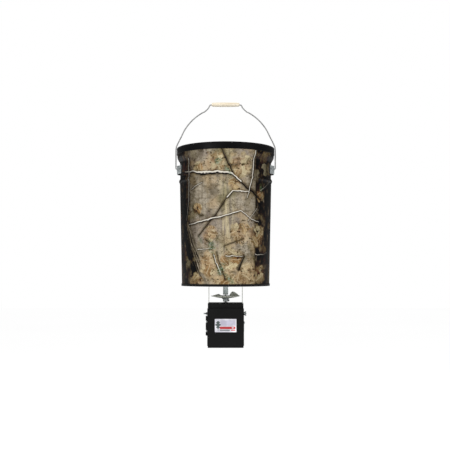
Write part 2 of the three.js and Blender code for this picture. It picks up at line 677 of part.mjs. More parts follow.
function timerPanel() {
    const back = TIMER_BACK + GAP;
    const inside = wallInsideX - GAP;
    return joinAndCut([
        block([-inside, back, -64], [inside, back + 1.2, -14]),
        block([-inside, back, -64], [-inside + 1.2, back + 4, -14]),
        block([inside - 1.2, back, -64], [inside, back + 4, -14]),
    ]);
}

add(kit, 'timer_panel', timerPanel(), galvanised());

const buttonPlaces = { button_set: -21, button_down: -7, button_up: 7, button_test: 21 };
const timerMiddle = (TIMER_TOP + TIMER_BOTTOM) / 2;
const screenMiddle = TIMER_TOP - 13;

function timerCase() {
    const outline = roundedShape(TIMER_HALF_WIDTH, (TIMER_TOP - TIMER_BOTTOM) / 2, 3);
    const body = acrossY(outline, TIMER_FRONT, TIMER_BACK, 3).translate(0, 0, timerMiddle);
    const window = block(
        [-19, TIMER_FRONT - 1, screenMiddle - 8], [19, TIMER_FRONT + 2.4, screenMiddle + 8]);
    const pockets = Object.values(buttonPlaces).map((x) => {
        const pocket = rod(BUTTON_RADIUS + GAP, TIMER_FRONT - 1, TIMER_FRONT + 7, 16);
        return alongY(pocket).translate(x, 0, BUTTON_HEIGHT);
    });
    return joinAndCut([body], [window, ...pockets]);
}

add(kit, 'timer_case', timerCase(), darkPlastic());

const screen = block([-18.6, TIMER_FRONT + 0.5, -7.6], [18.6, TIMER_FRONT + 2, 7.6]);
add(kit, 'timer_screen', screen, finish(0x9aa58c, 0.2, 0)).position.z = screenMiddle;

for (const [name, x] of Object.entries(buttonPlaces)) {
    const face = TIMER_FRONT - 1.8;
    const profile = [
        [0, face], [BUTTON_RADIUS - 0.6, face], [BUTTON_RADIUS, face + 0.6],
        [BUTTON_RADIUS, TIMER_FRONT + 4.6], [0, TIMER_FRONT + 4.6],
    ];
    const cap = add(kit, name, alongY(turned(profile, 16)), blackRubber());
    cap.position.set(x, 0, BUTTON_HEIGHT);
}

// ---- battery, its strap and terminals ----

const batteryTop = BATTERY_BOTTOM + BATTERY_TALL;
const batteryOutline = roundedShape(BATTERY_HALF_WIDTH, BATTERY_HALF_LENGTH, 2);
add(kit, 'battery', raised(batteryOutline, BATTERY_BOTTOM, batteryTop, 2), darkPlastic());

function batteryStrap() {
    const inside = BATTERY_HALF_WIDTH + GAP;
    const right = [[inside, BATTERY_BOTTOM], [inside + 9, BATTERY_BOTTOM], [inside + 9, BATTERY_BOTTOM + 1]];
    right.push([inside + 1, BATTERY_BOTTOM + 1], [inside + 1, batteryTop + GAP + 1]);
    const left = right.map(([x, z]) => [-x, z]).reverse();
    const outline = [...right, ...left, [-inside, batteryTop + GAP], [inside, batteryTop + GAP]];
    return acrossY(shapeOf(outline), 14, 34);
}

add(kit, 'battery_strap', batteryStrap(), galvanised());

const terminalY = -41;
const terminalX = 27;
const tabTop = batteryTop + GAP + 7;

for (const [name, side] of [['battery_tab_negative', -1], ['battery_tab_positive', 1]]) {
    const tab = joinAndCut([
        block([-2.4, -0.5, batteryTop + GAP], [2.4, 0.5, tabTop]),
        block([-3.6, -3, batteryTop + GAP], [3.6, 3, batteryTop + GAP + 1.2]),
    ]);
    add(kit, name, tab, brightSteel()).position.set(side * terminalX, terminalY, 0);
}

// ---- wiring inside the box ----

function batteryLead(side) {
    const start = tabTop + 0.3;
    const plugX = side * 10;
    return cord([
        [side * terminalX, terminalY, start], [side * (terminalX - 1), terminalY, start + 3],
        [side * (terminalX - 8), terminalY, TIMER_BOTTOM - 5.5],
        [plugX + side * 2, terminalY, TIMER_BOTTOM - 4.6],
        [plugX, terminalY, TIMER_BOTTOM - 2.4], [plugX, terminalY, TIMER_BOTTOM - 0.5],
    ], 1.1, 10);
}

add(kit, 'lead_red', batteryLead(1), finish(0xa01515, 0.5, 0));
add(kit, 'lead_black', batteryLead(-1), blackRubber());

const motorLead = cord([
    [4, 5, capTop - 5], [4, 4, -58], [2, -8, -70], [0, -26, -74.5], [0, -37, -73.4], [0, -40, -71],
    [0, -40, TIMER_BOTTOM - 0.5],
], 1.4, 16);
add(kit, 'motor_lead', motorLead, finish(0x3a3a3c, 0.6, 0));

export default feeder;
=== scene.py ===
# Looks of the hanging broadcast game feeder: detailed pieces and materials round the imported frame.
# Metres, +Z up. The feeder hangs from its grip at the origin, and its door faces -Y.

import math

import bmesh
import bpy
from mathutils import Euler, Matrix, Vector


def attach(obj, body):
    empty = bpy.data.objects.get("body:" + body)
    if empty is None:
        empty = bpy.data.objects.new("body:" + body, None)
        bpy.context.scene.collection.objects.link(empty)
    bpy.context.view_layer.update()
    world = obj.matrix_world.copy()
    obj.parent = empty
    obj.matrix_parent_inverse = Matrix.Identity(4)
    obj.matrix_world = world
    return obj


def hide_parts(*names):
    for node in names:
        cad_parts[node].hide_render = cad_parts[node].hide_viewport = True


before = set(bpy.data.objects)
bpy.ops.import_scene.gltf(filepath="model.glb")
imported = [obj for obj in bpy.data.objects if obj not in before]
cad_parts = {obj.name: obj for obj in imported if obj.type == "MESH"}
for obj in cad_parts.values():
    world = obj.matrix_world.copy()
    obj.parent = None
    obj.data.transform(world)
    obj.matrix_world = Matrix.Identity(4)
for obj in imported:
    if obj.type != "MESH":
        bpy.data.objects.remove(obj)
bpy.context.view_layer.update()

MM = 0.001
PAIL_BASE = -0.5724
BOX_TOP = PAIL_BASE - 0.0536
FINE = 192                      # segments round the pail
ROUND = 48                      # segments round a small turned piece

# ---------------------------------------------------------------- placing pieces


def finish_piece(piece, body, material, slot, *nodes):
    """Gives a piece its material and its body, and hides the CAD nodes that it stands for. The slot is not
    used.
    """
    piece.data.materials.clear()
    piece.data.materials.append(material)
    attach(piece, body)
    if nodes:
        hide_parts(*nodes)
    return piece


def link(name, mesh):
    piece = bpy.data.objects.new(name, mesh)
    bpy.context.scene.collection.objects.link(piece)
    return piece


def mesh_piece(name, bm, smooth_angle=35):
    bmesh.ops.recalc_face_normals(bm, faces=bm.faces)
    mesh = bpy.data.meshes.new(name)
    bm.to_mesh(mesh)
    bm.free()
    mesh.shade_smooth()
    mesh.set_sharp_from_angle(angle=math.radians(smooth_angle))
    return link(name, mesh)


def along(axis):
    """The turn that lays the Z axis of a turned piece along X, -X or -Y."""
    right = math.pi / 2
    turns = {"z": (0, 0, 0), "x": (0, right, 0), "-x": (0, -right, 0), "-y": (right, 0, 0)}
    return Euler(turns[axis]).to_matrix().to_4x4()


def turned_bmesh(profile, segments=ROUND, closed=False):
    """A lathe about Z. The profile is a list of (radius, height) in millimetres."""
    bm = bmesh.new()
    rows = []
    for radius, height in profile:
        if radius < 1e-6:
            rows.append([bm.verts.new((0, 0, height * MM))])
            continue
        row = []
        for i in range(segments):
            angle = 2 * math.pi * i / segments
            place = (radius * MM * math.cos(angle), radius * MM * math.sin(angle), height * MM)
            row.append(bm.verts.new(place))
        rows.append(row)
    pairs = list(zip(rows, rows[1:]))
    if closed:
        pairs.append((rows[-1], rows[0]))
    for low, high in pairs:
        for i in range(segments):
            j = (i + 1) % segments
            corners = [low[i % len(low)], low[j % len(low)], high[j % len(high)], high[i % len(high)]]
            face = list(dict.fromkeys(corners))
            if len(face) > 2:
                bm.faces.new(face)
    return bm


def arc_steps(start, corner, end, steps):
    """Points of a smooth arc from start to end that heads for the corner between them."""
    shares = [k / steps for k in range(steps + 1)]
    return [start * (1 - t) ** 2 + corner * 2 * t * (1 - t) + end * t ** 2 for t in shares]


def corner_arc(before, corner, after, radius, steps=5):
    """A round bend at the corner of a path, in a plane or in space."""
    before, corner, after = Vector(before), Vector(corner), Vector(after)
    start = corner + (before - corner).normalized() * radius
    end = corner + (after - corner).normalized() * radius
    return arc_steps(start, corner, end, steps)


def turned(name, profile, place=None, segments=ROUND, closed=False, smooth_angle=35):
    bm = turned_bmesh(rounded(profile, closed), segments, closed)
    if place is not None:
        bm.transform(place)
    return mesh_piece(name, bm, smooth_angle)


def rounded(profile, closed, radius=0.35, steps=3):
    """The same profile with a small arc at each real corner."""
    points = [Vector(p) for p in profile]
    count = len(points)
    result = []
    for i, point in enumerate(points):
        if not closed and i in (0, count - 1):
            result.append(tuple(point))
            continue
        before = points[i - 1] - point
        after = points[(i + 1) % count] - point
        sharp = abs(before.normalized().dot(after.normalized()) + 1) > 0.03
        reach = min(radius, before.length * 0.45, after.length * 0.45)
        if not sharp or reach < 0.02:
            result.append(tuple(point))
            continue
        start = point + before.normalized() * reach
        end = point + after.normalized() * reach
        result += [(max(p.x, 0), p.y) for p in arc_steps(start, point, end, steps)]
    return result


def at(x, y, z, axis="z"):
    return Matrix.Translation((x, y, z)) @ along(axis)


def box_point(x, y, height):
    """A point given in millimetres, with its height above the control box's top."""
    return x * MM, y * MM, BOX_TOP + height * MM


def round_edges(piece, width, segments=2, angle=50):
    """A bevel of a width in millimetres on every edge sharper than the angle."""
    bevel = piece.modifiers.new("edges", "BEVEL")
    bevel.width = width * MM
    bevel.segments = segments
    bevel.limit_method = "ANGLE"
    bevel.angle_limit = math.radians(angle)
    return bevel


def refined(name, node, width=0.5, segments=3, angle=30):
    """A copy of a CAD node's shape with its flat faces cleaned and its edges rounded."""
    bm = bmesh.new()
    bm.from_mesh(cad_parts[node].data)
    bmesh.ops.remove_doubles(bm, verts=bm.verts, dist=1e-6)
    bmesh.ops.dissolve_limit(bm, angle_limit=math.radians(1), verts=bm.verts, edges=bm.edges)
    piece = mesh_piece(name, bm)
    round_edges(piece, width, segments, angle).harden_normals = True
    return piece


def wire_piece(name, points, radius, resolution=6):
    """A round wire through points, as a mesh tube with closed ends."""
    curve = bpy.data.curves.new(name, "CURVE")
    curve.dimensions = "3D"
    curve.bevel_depth = radius
    curve.bevel_resolution = resolution
    curve.use_fill_caps = True
    spline = curve.splines.new("POLY")
    spline.points.add(len(points) - 1)
    for slot, point in zip(spline.points, points):
        slot.co = (*point, 1)
    maker = link(name + "_maker", curve)
    bpy.context.view_layer.update()
    mesh = bpy.data.meshes.new_from_object(maker)
    bpy.data.objects.remove(maker)
    mesh.shade_smooth()
    mesh.set_sharp_from_angle(angle=math.radians(40))
    return link(name, mesh)


def smooth_path(points, steps=8):
    """Points of a centripetal-like smooth curve through the given points."""
    padded = [points[0]] + list(points) + [points[-1]]
    path = []
    for i in range(1, len(padded) - 2):
        a, b, c, d = (Vector(p) for p in padded[i - 1:i + 3])
        for k in range(steps):
            t = k / steps
            path.append(0.5 * ((2 * b) + (c - a) * t + (2 * a - 5 * b + 4 * c - d) * t ** 2
                               + (3 * b - a - 3 * c + d) * t ** 3))
    path.append(Vector(points[-1]))
    return path


# ---------------------------------------------------------------- shader building


class Field:
    """A number that varies over a surface: the output of a shader node, with arithmetic."""

    def __init__(self, tree, source):
        self.tree = tree
        self.source = source

    def _math(self, operation, *others, clamp=False):
        node = self.tree.nodes.new("ShaderNodeMath")
        node.operation = operation
        node.use_clamp = clamp
        for slot, value in zip(node.inputs, (self, *others)):
            if isinstance(value, Field):
                self.tree.links.new(value.source, slot)
            else:
                slot.default_value = value
        return Field(self.tree, node.outputs[0])

    def __add__(self, other):
        return self._math("ADD", other)

    def __sub__(self, other):
        return self._math("SUBTRACT", other)

    def __mul__(self, other):
        return self._math("MULTIPLY", other)

    def __neg__(self):
        return self._math("MULTIPLY", -1.0)

    __radd__ = __add__
    __rmul__ = __mul__

    def over(self, other):
        return self._math("DIVIDE", other)

    def power(self, other):
        return self._math("POWER", other)

    def absolute(self):
        return self._math("ABSOLUTE")

    def most(self, other):
        return self._math("MAXIMUM", other)

    def clamp(self):
        return self._math("ADD", 0.0, clamp=True)

    def sine(self):
        return self._math("SINE")

    def cosine(self):
        return self._math("COSINE")

    def root(self):
        return self._math("SQRT")

    def angle_from(self, other):
        return self._math("ARCTAN2", other)

    def step(self, low, high, to_low=0.0, to_high=1.0):
        """Smoothly from to_low where the field is low to to_high where it is high."""
        node = self.tree.nodes.new("ShaderNodeMapRange")
        node.interpolation_type = "SMOOTHSTEP"
        self.tree.links.new(self.source, node.inputs["Value"])
        node.inputs["From Min"].default_value = low
        node.inputs["From Max"].default_value = high
        node.inputs["To Min"].default_value = to_low
        node.inputs["To Max"].default_value = to_high
        return Field(self.tree, node.outputs[0])


class Paint:
    """One Principled material under construction."""

    def __init__(self, name, color, roughness, metallic=0.0, **sockets):
        self.material = bpy.data.materials.new(name)
        self.material.use_nodes = True
        self.tree = self.material.node_tree
        self.shader = self.tree.nodes["Principled BSDF"]
        self.shader.inputs["Base Color"].default_value = (*color, 1)
        self.shader.inputs["Roughness"].default_value = roughness
        self.shader.inputs["Metallic"].default_value = metallic
        for key, value in sockets.items():
            self.shader.inputs[key.replace("_", " ")].default_value = value
        place = self.tree.nodes.new("ShaderNodeTexCoord")
        self.place = place.outputs["Object"]

    def axes(self):
        node = self.tree.nodes.new("ShaderNodeSeparateXYZ")
        self.tree.links.new(self.place, node.inputs[0])
        return [Field(self.tree, out) for out in node.outputs]

    def vector(self, x, y, z=0.0):
        node = self.tree.nodes.new("ShaderNodeCombineXYZ")
        for slot, value in zip(node.inputs, (x, y, z)):
            if isinstance(value, Field):
                self.tree.links.new(value.source, slot)
            else:
                slot.default_value = value
        return node.outputs[0]

    def stretched(self, x, y, z):
        node = self.tree.nodes.new("ShaderNodeMapping")
        node.inputs["Scale"].default_value = (x, y, z)
        self.tree.links.new(self.place, node.inputs["Vector"])
        return node.outputs[0]

    def noise(self, scale, detail=3.0, roughness=0.5, vector=None, distortion=0.0):
        node = self.tree.nodes.new("ShaderNodeTexNoise")
        node.inputs["Scale"].default_value = scale
        node.inputs["Detail"].default_value = detail
        node.inputs["Roughness"].default_value = roughness
        node.inputs["Distortion"].default_value = distortion
        self.tree.links.new(vector or self.place, node.inputs["Vector"])
        return Field(self.tree, node.outputs["Fac"])

    def voronoi(self, scale, vector=None, dimensions="3D", randomness=1.0):
        node = self.tree.nodes.new("ShaderNodeTexVoronoi")
        node.voronoi_dimensions = dimensions
        node.inputs["Scale"].default_value = scale
        node.inputs["Randomness"].default_value = randomness
        self.tree.links.new(vector or self.place, node.inputs["Vector"])
        return node

    def blend(self, fac, low, high):
        node = self.tree.nodes.new("ShaderNodeMix")
        node.data_type = "RGBA"
        if isinstance(fac, Field):
            self.tree.links.new(fac.source, node.inputs["Factor"])
        else:
            node.inputs["Factor"].default_value = fac
        for slot, value in ((node.inputs[6], low), (node.inputs[7], high)):
            if isinstance(value, bpy.types.NodeSocket):
                self.tree.links.new(value, slot)
            else:
                slot.default_value = (*value, 1)
        return node.outputs[2]

    def ramp(self, fac, *stops):
        """A colour ramp with (place, colour) stops."""
        node = self.tree.nodes.new("ShaderNodeValToRGB")
        elements = node.color_ramp.elements
        while len(elements) < len(stops):
            elements.new(0.5)
        for element, (place, rgb) in zip(elements, stops):
            element.position = place
            element.color = (*rgb, 1)
        self.tree.links.new(fac.source, node.inputs[0])
        return node.outputs[0]

    def adjusted(self, color, kind, sockets, values):
        """A colour after one of Blender's colour adjustment nodes."""
        node = self.tree.nodes.new(kind)
        for socket, value in zip(sockets, values):
            node.inputs[socket].default_value = value
        self.tree.links.new(color, node.inputs["Color"])
        return node.outputs["Color"]

    def set(self, socket, value):
        source = value.source if isinstance(value, Field) else value
        self.tree.links.new(source, self.shader.inputs[socket])

    def bump(self, height, distance, strength=1.0):
        node = self.tree.nodes.new("ShaderNodeBump")
        node.inputs["Distance"].default_value = distance
        node.inputs["Strength"].default_value = strength
        self.tree.links.new(height.source, node.inputs["Height"])
        self.tree.links.new(node.outputs[0], self.shader.inputs["Normal"])


# ---------------------------------------------------------------- materials


def powder_coat(name, base=(0.0045, 0.0045, 0.0046), rough=0.46):
    """Fine orange-peel powder coat on steel, with a little settled dust."""
    paint = Paint(name, base, rough, Specular_IOR_Level=0.16)
    peel = paint.noise(900, 2)
    cloud = paint.noise(14, 4, 0.6)
    dust = paint.noise(160, 4, 0.7)
    settled = (cloud * dust).step(0.22, 0.42) * 0.3
    paint.set("Base Color", paint.blend(settled, base, (0.014, 0.0138, 0.0132)))
    paint.set("Roughness", cloud.step(0.3, 0.7, rough - 0.08, rough + 0.1) + peel * 0.04)
    paint.bump(peel + dust * 0.3, 0.00006, 0.6)
    return paint.material


def lid_enamel():
    """Smooth satin black enamel with faint handling scuffs."""
    base = (0.0022, 0.0022, 0.0026)
    paint = Paint("lid_enamel", base, 0.4, Specular_IOR_Level=0.14)
    cloud = paint.noise(9, 5, 0.6)
    scuff = paint.noise(60, 6, 0.75, paint.stretched(1, 1, 9)).step(0.6, 0.72)
    paint.set("Base Color", paint.blend(scuff * cloud * 0.5, base, (0.012, 0.012, 0.0125)))
    paint.set("Roughness", cloud.step(0.3, 0.7, 0.34, 0.48) + scuff * 0.12)
    paint.bump(paint.noise(500, 3), 0.00004, 0.4)
    return paint.material


def zinc(name, light, dark, rough, grain, metallic):
    """Zinc-plated or galvanised steel with soft crystal patches and fine scratches."""
    paint = Paint(name, light, rough, metallic)
    cells = paint.voronoi(grain)
    spangle = Field(paint.tree, cells.outputs["Distance"])
    cloud = paint.noise(40, 4, 0.6)
    scratch = paint.noise(300, 2, 0.5, paint.stretched(1, 1, 0.08)).step(0.58, 0.7)
    tone = (spangle * 0.8 + cloud * 0.7).step(0.25, 0.95)
    paint.set("Base Color", paint.blend(tone, dark, light))
    paint.set("Roughness", tone.step(0, 1, rough + 0.12, rough - 0.05) + scratch * 0.1)
    paint.bump(cloud + scratch * 0.4, 0.00005, 0.35)
    return paint.material


def bright_steel():
    paint = Paint("bright_steel", (0.5, 0.51, 0.52), 0.28, 0.95)
    turned_lines = paint.noise(700, 2, 0.5, paint.stretched(0.05, 0.05, 1))
    cloud = paint.noise(60, 4)
    paint.set("Base Color", paint.blend(cloud, (0.38, 0.39, 0.4), (0.6, 0.61, 0.62)))
    paint.set("Roughness", turned_lines.step(0.3, 0.7, 0.2, 0.38))
    paint.bump(turned_lines, 0.00003, 0.4)
    return paint.material


def wood():
    """Pale turned hardwood: long grain along X, pores, and a faint grey of handling."""
    paint = Paint("pale_wood", (0.78, 0.62, 0.4), 0.5, Coat_Weight=0.12, Coat_Roughness=0.3)
    grain = paint.noise(46, 6, 0.62, paint.stretched(0.12, 1, 1), distortion=0.6)
    pores = paint.noise(420, 2, 0.5, paint.stretched(0.05, 1, 1)).step(0.6, 0.7)
    stops = ((0.3, (0.62, 0.5, 0.34)), (0.5, (0.86, 0.76, 0.58)), (0.72, (0.93, 0.87, 0.74)))
    tone = paint.ramp(grain, *stops)
    dirt = paint.noise(30, 4).step(0.55, 0.75) * 0.3
    paint.set("Base Color", paint.blend(dirt * 0.6 + pores * 0.3, tone, (0.4, 0.28, 0.17)))
    paint.set("Roughness", grain.step(0.3, 0.7, 0.42, 0.6))
    paint.bump(grain * 0.6 - pores * 0.6, 0.00025, 0.5)
    return paint.material


def plastic(name, base, rough=0.42, texture=420, **sockets):
    """Moulded plastic with a fine spark-erosion texture and slight mottling."""
    paint = Paint(name, base, rough, **sockets)
    texture_field = paint.noise(texture, 2)
    cloud = paint.noise(22, 4)
    lighter = tuple(min(1, c * 1.35 + 0.004) for c in base)
    darker = tuple(c * 0.78 for c in base)
    paint.set("Base Color", paint.blend(cloud.step(0.35, 0.65), darker, lighter))
    paint.set("Roughness", cloud.step(0.3, 0.7, rough - 0.05, rough + 0.08))
    paint.bump(texture_field, 0.00006, 0.5)
    return paint.material


def rubber(name, base):
    return plastic(name, base, 0.7, 650)


def screen_glass():
    """Grey-green display film with a faint cloudy mottle."""
    paint = Paint("screen_glass", (0.3, 0.35, 0.25), 0.12, Coat_Weight=0.8, Coat_Roughness=0.05)
    cloud = paint.noise(60, 3)
    paint.set("Base Color", paint.blend(cloud, (0.24, 0.29, 0.2), (0.38, 0.43, 0.31)))
    paint.set("Roughness", cloud.step(0.3, 0.7, 0.1, 0.2))
    paint.bump(paint.noise(700, 1), 0.00001, 0.2)
    return paint.material


# ---------------------------------------------------------------- camouflage print

# Everything is in decimetres: u round the pail from its front, v up from its lower rim.

PAIL_RADIUS = 1.43

# Dark upright trunks of the print, the two at the front's sides also painted shade: (middle, half width,
# softness, darkness).
SHADOWED = [
    (-1.98, 0.74, 0.34, 0.8), (1.72, 0.76, 0.05, 0.82), (3.75, 0.42, 0.3, 0.85), (-3.85, 0.3, 0.12, 0.85),
]

# Painted shade on the far sides of the print, with a soft edge: (middle, half width in full shade,
# half width to the end of the edge, strength).
PAINTED_SIDE_SHADE = [
    (-2.1, 0.86, 1.38, 0.42), (2.05, 1.0, 1.40, 0.30), (-2.1, 0.40, 0.84, 0.2), (2.1, 0.40, 0.76, 0.2),
]

# Branches: (u, v) of each end, then the half width at each end.
PALE_BRANCHES = [
    (-1.50, 3.50, -0.88, 3.42, 0.026, 0.034), (-0.88, 3.42, 0.20, 3.34, 0.044, 0.05),
    (0.20, 3.34, 0.46, 3.14, 0.046, 0.03), (0.06, 2.66, 0.22, 2.84, 0.026, 0.026),
    (0.22, 2.84, 0.74, 2.80, 0.026, 0.02), (-1.30, 1.86, -0.46, 2.00, 0.020, 0.032),
    (-0.46, 2.00, 0.44, 2.22, 0.030, 0.020), (0.44, 2.22, 1.1, 1.92, 0.018, 0.013),
    (0.92, 4.05, 0.86, 3.30, 0.028, 0.026), (0.86, 3.30, 0.68, 2.66, 0.022, 0.014),
    (0.72, 1.98, 1.06, 2.36, 0.012, 0.008), (-1.26, 3.90, -1.28, 2.60, 0.024, 0.020),
    (-1.28, 2.60, -1.44, 2.0, 0.018, 0.01), (-1.14, 2.92, -0.72, 3.12, 0.012, 0.010),
    (-0.92, 1.10, -0.44, 1.12, 0.018, 0.010), (0.02, 0.92, 0.52, 0.88, 0.018, 0.010),
    (-0.38, 0.92, -0.16, 0.36, 0.016, 0.022), (1.2, 2.9, 1.75, 3.2, 0.016, 0.01),
    (1.0, 0.98, 1.6, 0.98, 0.014, 0.01), (-3.3, 2.9, -2.0, 3.2, 0.034, 0.020),
    (2.2, 1.5, 3.3, 2.3, 0.030, 0.014), (-3.0, 1.2, -2.2, 2.1, 0.016, 0.024),
    (2.3, 3.3, 4.1, 3.0, 0.034, 0.016), (3.5, 1.0, 4.2, 1.9, 0.020, 0.010),
    (-4.2, 2.0, -3.4, 2.6, 0.026, 0.012),
]
DARK_BRANCHES = [
    (-0.10, 4.10, 0.24, 3.36, 0.020, 0.032), (0.46, 3.14, 0.74, 2.90, 0.026, 0.042),
    (0.74, 2.90, 1.2, 2.62, 0.040, 0.02), (-0.30, 2.14, -0.88, 1.52, 0.022, 0.016),
    (0.04, 2.66, -0.30, 2.14, 0.016, 0.020), (0.56, 0.88, 0.40, 0.52, 0.018, 0.045),
    (-0.62, 1.45, -0.42, 1.2, 0.012, 0.012), (-0.04, 1.20, 0.56, 1.42, 0.010, 0.008),
    (-0.30, 1.0, -0.02, 0.2, 0.008, 0.020), (-1.1, 2.36, -0.7, 2.12, 0.010, 0.008),
    (-2.6, 0.4, -2.3, 1.9, 0.02, 0.04), (2.5, 0.5, 2.8, 1.7, 0.018, 0.03),
    (-3.4, 3.6, -2.6, 2.4, 0.03, 0.01), (2.9, 3.9, 3.3, 2.6, 0.014, 0.03),
]

# Clumps of leaves: (u, v, reach).
CLUMPS = [
    (-0.30, 3.72, 0.40), (0.42, 3.62, 0.46), (0.28, 3.04, 0.24), (-0.88, 3.56, 0.22), (-0.92, 2.34, 0.20),
    (0.5, 1.62, 0.42), (1.02, 1.52, 0.40), (-0.50, 1.56, 0.28), (0.16, 0.78, 0.42), (-0.5, 0.66, 0.42),
    (0.7, 0.3, 0.48), (-1.0, 0.14, 0.32), (0.0, 0.14, 0.42), (1.22, 0.36, 0.34), (1.2, 2.74, 0.22),
    (-2.6, 0.6, 0.8), (-2.7, 3.5, 0.4), (-3.3, 1.8, 0.4), (2.7, 0.5, 0.7), (3.0, 2.8, 0.5),
    (4.3, 0.6, 0.6), (-4.2, 3.1, 0.5), (3.9, 3.8, 0.4), (-4.0, 0.4, 0.5), (2.4, 3.8, 0.3),
]

# Needle sprigs: (u, v, lean, reach).
SPRIGS = [
    (-0.42, 1.14, 0.2, 0.30), (-0.20, 3.80, -0.5, 0.26), (0.06, 3.46, 0.6, 0.2), (0.12, 0.22, 0.7, 0.26),
    (-0.82, 1.42, 0.5, 0.16), (-0.14, 0.5, -0.3, 0.3), (-2.6, 2.7, 0.2, 0.3), (2.9, 3.2, -0.3, 0.34),
    (1.22, 2.98, 0.3, 0.18),
]

# The finished print's contrast and colour: (brightness, contrast) and (hue, saturation, value).
PRINT_CONTRAST = (0.132, 0.38)
PRINT_COLOUR = (0.512, 0.82, 0.94)

BLACK, CHAR, UMBER = (0.004, 0.0035, 0.003), (0.016, 0.013, 0.011), (0.055, 0.044, 0.035)
TAUPE, STONE, PALE = (0.155, 0.125, 0.092), (0.27, 0.222, 0.168), (0.42, 0.36, 0.285)
STRAW, TAN, RUST = (0.52, 0.41, 0.235), (0.40, 0.265, 0.145), (0.255, 0.118, 0.042)
MOSS, FROST = (0.055, 0.085, 0.04), (0.235, 0.285, 0.2)


def node_group(name, inputs, outputs, build):
    """A node group of float sockets, whose outputs are worked out from its inputs by build."""
    tree = bpy.data.node_groups.new(name, "ShaderNodeTree")
    for label in inputs:
        tree.interface.new_socket(name=label, in_out="INPUT", socket_type="NodeSocketFloat")
    for label in outputs:
        tree.interface.new_socket(name=label, in_out="OUTPUT", socket_type="NodeSocketFloat")
    source = tree.nodes.new("NodeGroupInput")
    sink = tree.nodes.new("NodeGroupOutput")
    results = build(*[Field(tree, socket) for socket in source.outputs[:len(inputs)]])
    for result, socket in zip(results, sink.inputs):
        tree.links.new(result.source, socket)
    return tree


def use_group(group, tree, *values):
    """The outputs of a node group fed with fields and numbers."""
    node = tree.nodes.new("ShaderNodeGroup")
    node.node_tree = group
    for socket, value in zip(node.inputs, values):
        if isinstance(value, Field):
            tree.links.new(value.source, socket)
        else:
            socket.default_value = value
    return [Field(tree, socket) for socket in node.outputs]


def branch_step(u, v, u0, v0, du, dv, inverse, upward, w0, w1, depth, side):
    """Adds one tapering branch to the depth and the side that were found so far."""
    x = u - u0
    y = v - v0
    along_it = ((x * du + y * dv) * inverse).clamp()
    off_u = x - along_it * du
    off_v = y - along_it * dv
    width = along_it * (w1 - w0) + w0
    this_side = (y * du - x * dv) * upward
    this_side = this_side.over(width)
    this_depth = width - (off_u * off_u + off_v * off_v).root()
    nearer = (this_depth - depth).step(-0.001, 0.001)
    return depth.most(this_depth), side + (this_side - side) * nearer


def branches(u, v, specs):
    """The union of many branches: how deep a point lies inside them, and how far to their upper side."""
    group = bpy.data.node_groups.get("branch_step") or node_group(
        "branch_step", ["u", "v", "u0", "v0", "du", "dv", "inverse", "upward", "w0", "w1", "depth", "side"],
        ["depth", "side"], branch_step)
    depth, side = -1.0, 0.0
    for u0, v0, u1, v1, w0, w1 in specs:
        du, dv = u1 - u0, v1 - v0
        length = math.hypot(du, dv)
        upward = math.copysign(1 / length, du)
        depth, side = use_group(
            group, u.tree, u, v, u0, v0, du, dv, length ** -2, upward, w0, w1, depth, side)
    return depth, side


def clump_step(u, v, cu, cv, inverse, found):
    x = u - cu
    y = v - cv
    return (found.most((x * x + y * y).root() * inverse + 1.0),)


def clump_field(u, v):
    """Near 1 in the middle of a clump of leaves, and below 0 outside it."""
    group = node_group("clump_step", ["u", "v", "cu", "cv", "inverse", "found"], ["found"], clump_step)
    found = -4.0
    for cu, cv, reach in CLUMPS:
        found, = use_group(group, u.tree, u, v, cu, cv, -1 / reach, found)
    return found


def leaf_layer(paint, u, v, scale, shift, length, width, lobes):
    """Scattered lobed leaves: (mask, random number, vein, shade) fields, one leaf to a cell."""
    cells = paint.voronoi(scale, paint.vector(u + shift, v - shift), dimensions="2D", randomness=0.9)
    place = paint.tree.nodes.new("ShaderNodeSeparateXYZ")
    paint.tree.links.new(cells.outputs["Position"], place.inputs[0])
    centre_u = Field(paint.tree, place.outputs[0])
    centre_v = Field(paint.tree, place.outputs[1])
    tint = paint.tree.nodes.new("ShaderNodeSeparateColor")
    paint.tree.links.new(cells.outputs["Color"], tint.inputs[0])
    pick = Field(paint.tree, tint.outputs[0])
    spin = Field(paint.tree, tint.outputs[1]) * 6.283
    curl = Field(paint.tree, tint.outputs[2])
    x = u + shift - centre_u
    y = v - shift - centre_v
    s = (x * spin.cosine() + y * spin.sine()).over(length) + 0.5
    t = (y * spin.cosine() - x * spin.sine()).over(width) + (curl - 0.5) * (s - 0.5) * (s - 0.5) * 3.0
    ragged = paint.noise(7, 3, 0.6, paint.vector(u, v)) - 0.5
    outline = (s.clamp() * math.pi).sine().power(0.75)
    outline = outline * ((s * (math.pi * 2 * lobes)).cosine() * -0.22 + 0.78) + ragged * 0.45
    inside = (outline - t.absolute()).step(-0.05, 0.12) * s.step(0.0, 0.04) * s.step(0.96, 1.0, 1.0, 0.0)
    rib = t.absolute().step(0.03, 0.10, 1.0, 0.0)
    side_ribs = ((s * lobes - t.absolute() * 0.55) * (math.pi * 2)).sine().step(0.86, 1.0)
    shade = (t * 0.5 + s * 0.6 + ragged * 0.9).step(-0.25, 0.95)
    return inside, pick, rib.most(side_ribs * 0.5), shade


def bark_ground(paint, u, v, flat):
    """Smooth taupe bark with soft upright bands and fine level flecks."""
    bands = paint.noise(2.4, 4, 0.55, paint.vector(u * 2.2, v * 0.14))
    mottle = paint.noise(2.2, 5, 0.6, flat)
    fleck = paint.noise(9, 4, 0.65, paint.vector(u * 0.8, v * 2.0))
    tone = bands * 0.40 + mottle * 0.34 + fleck * 0.26
    ground = paint.ramp(tone, (0.34, UMBER), (0.43, TAUPE), (0.52, STONE), (0.64, PALE))
    violet = paint.noise(1.5, 3, 0.5, paint.vector(u + 7.0, v * 0.6)).step(0.48, 0.62) * 0.5
    return paint.blend(violet, ground, (0.21, 0.168, 0.15))


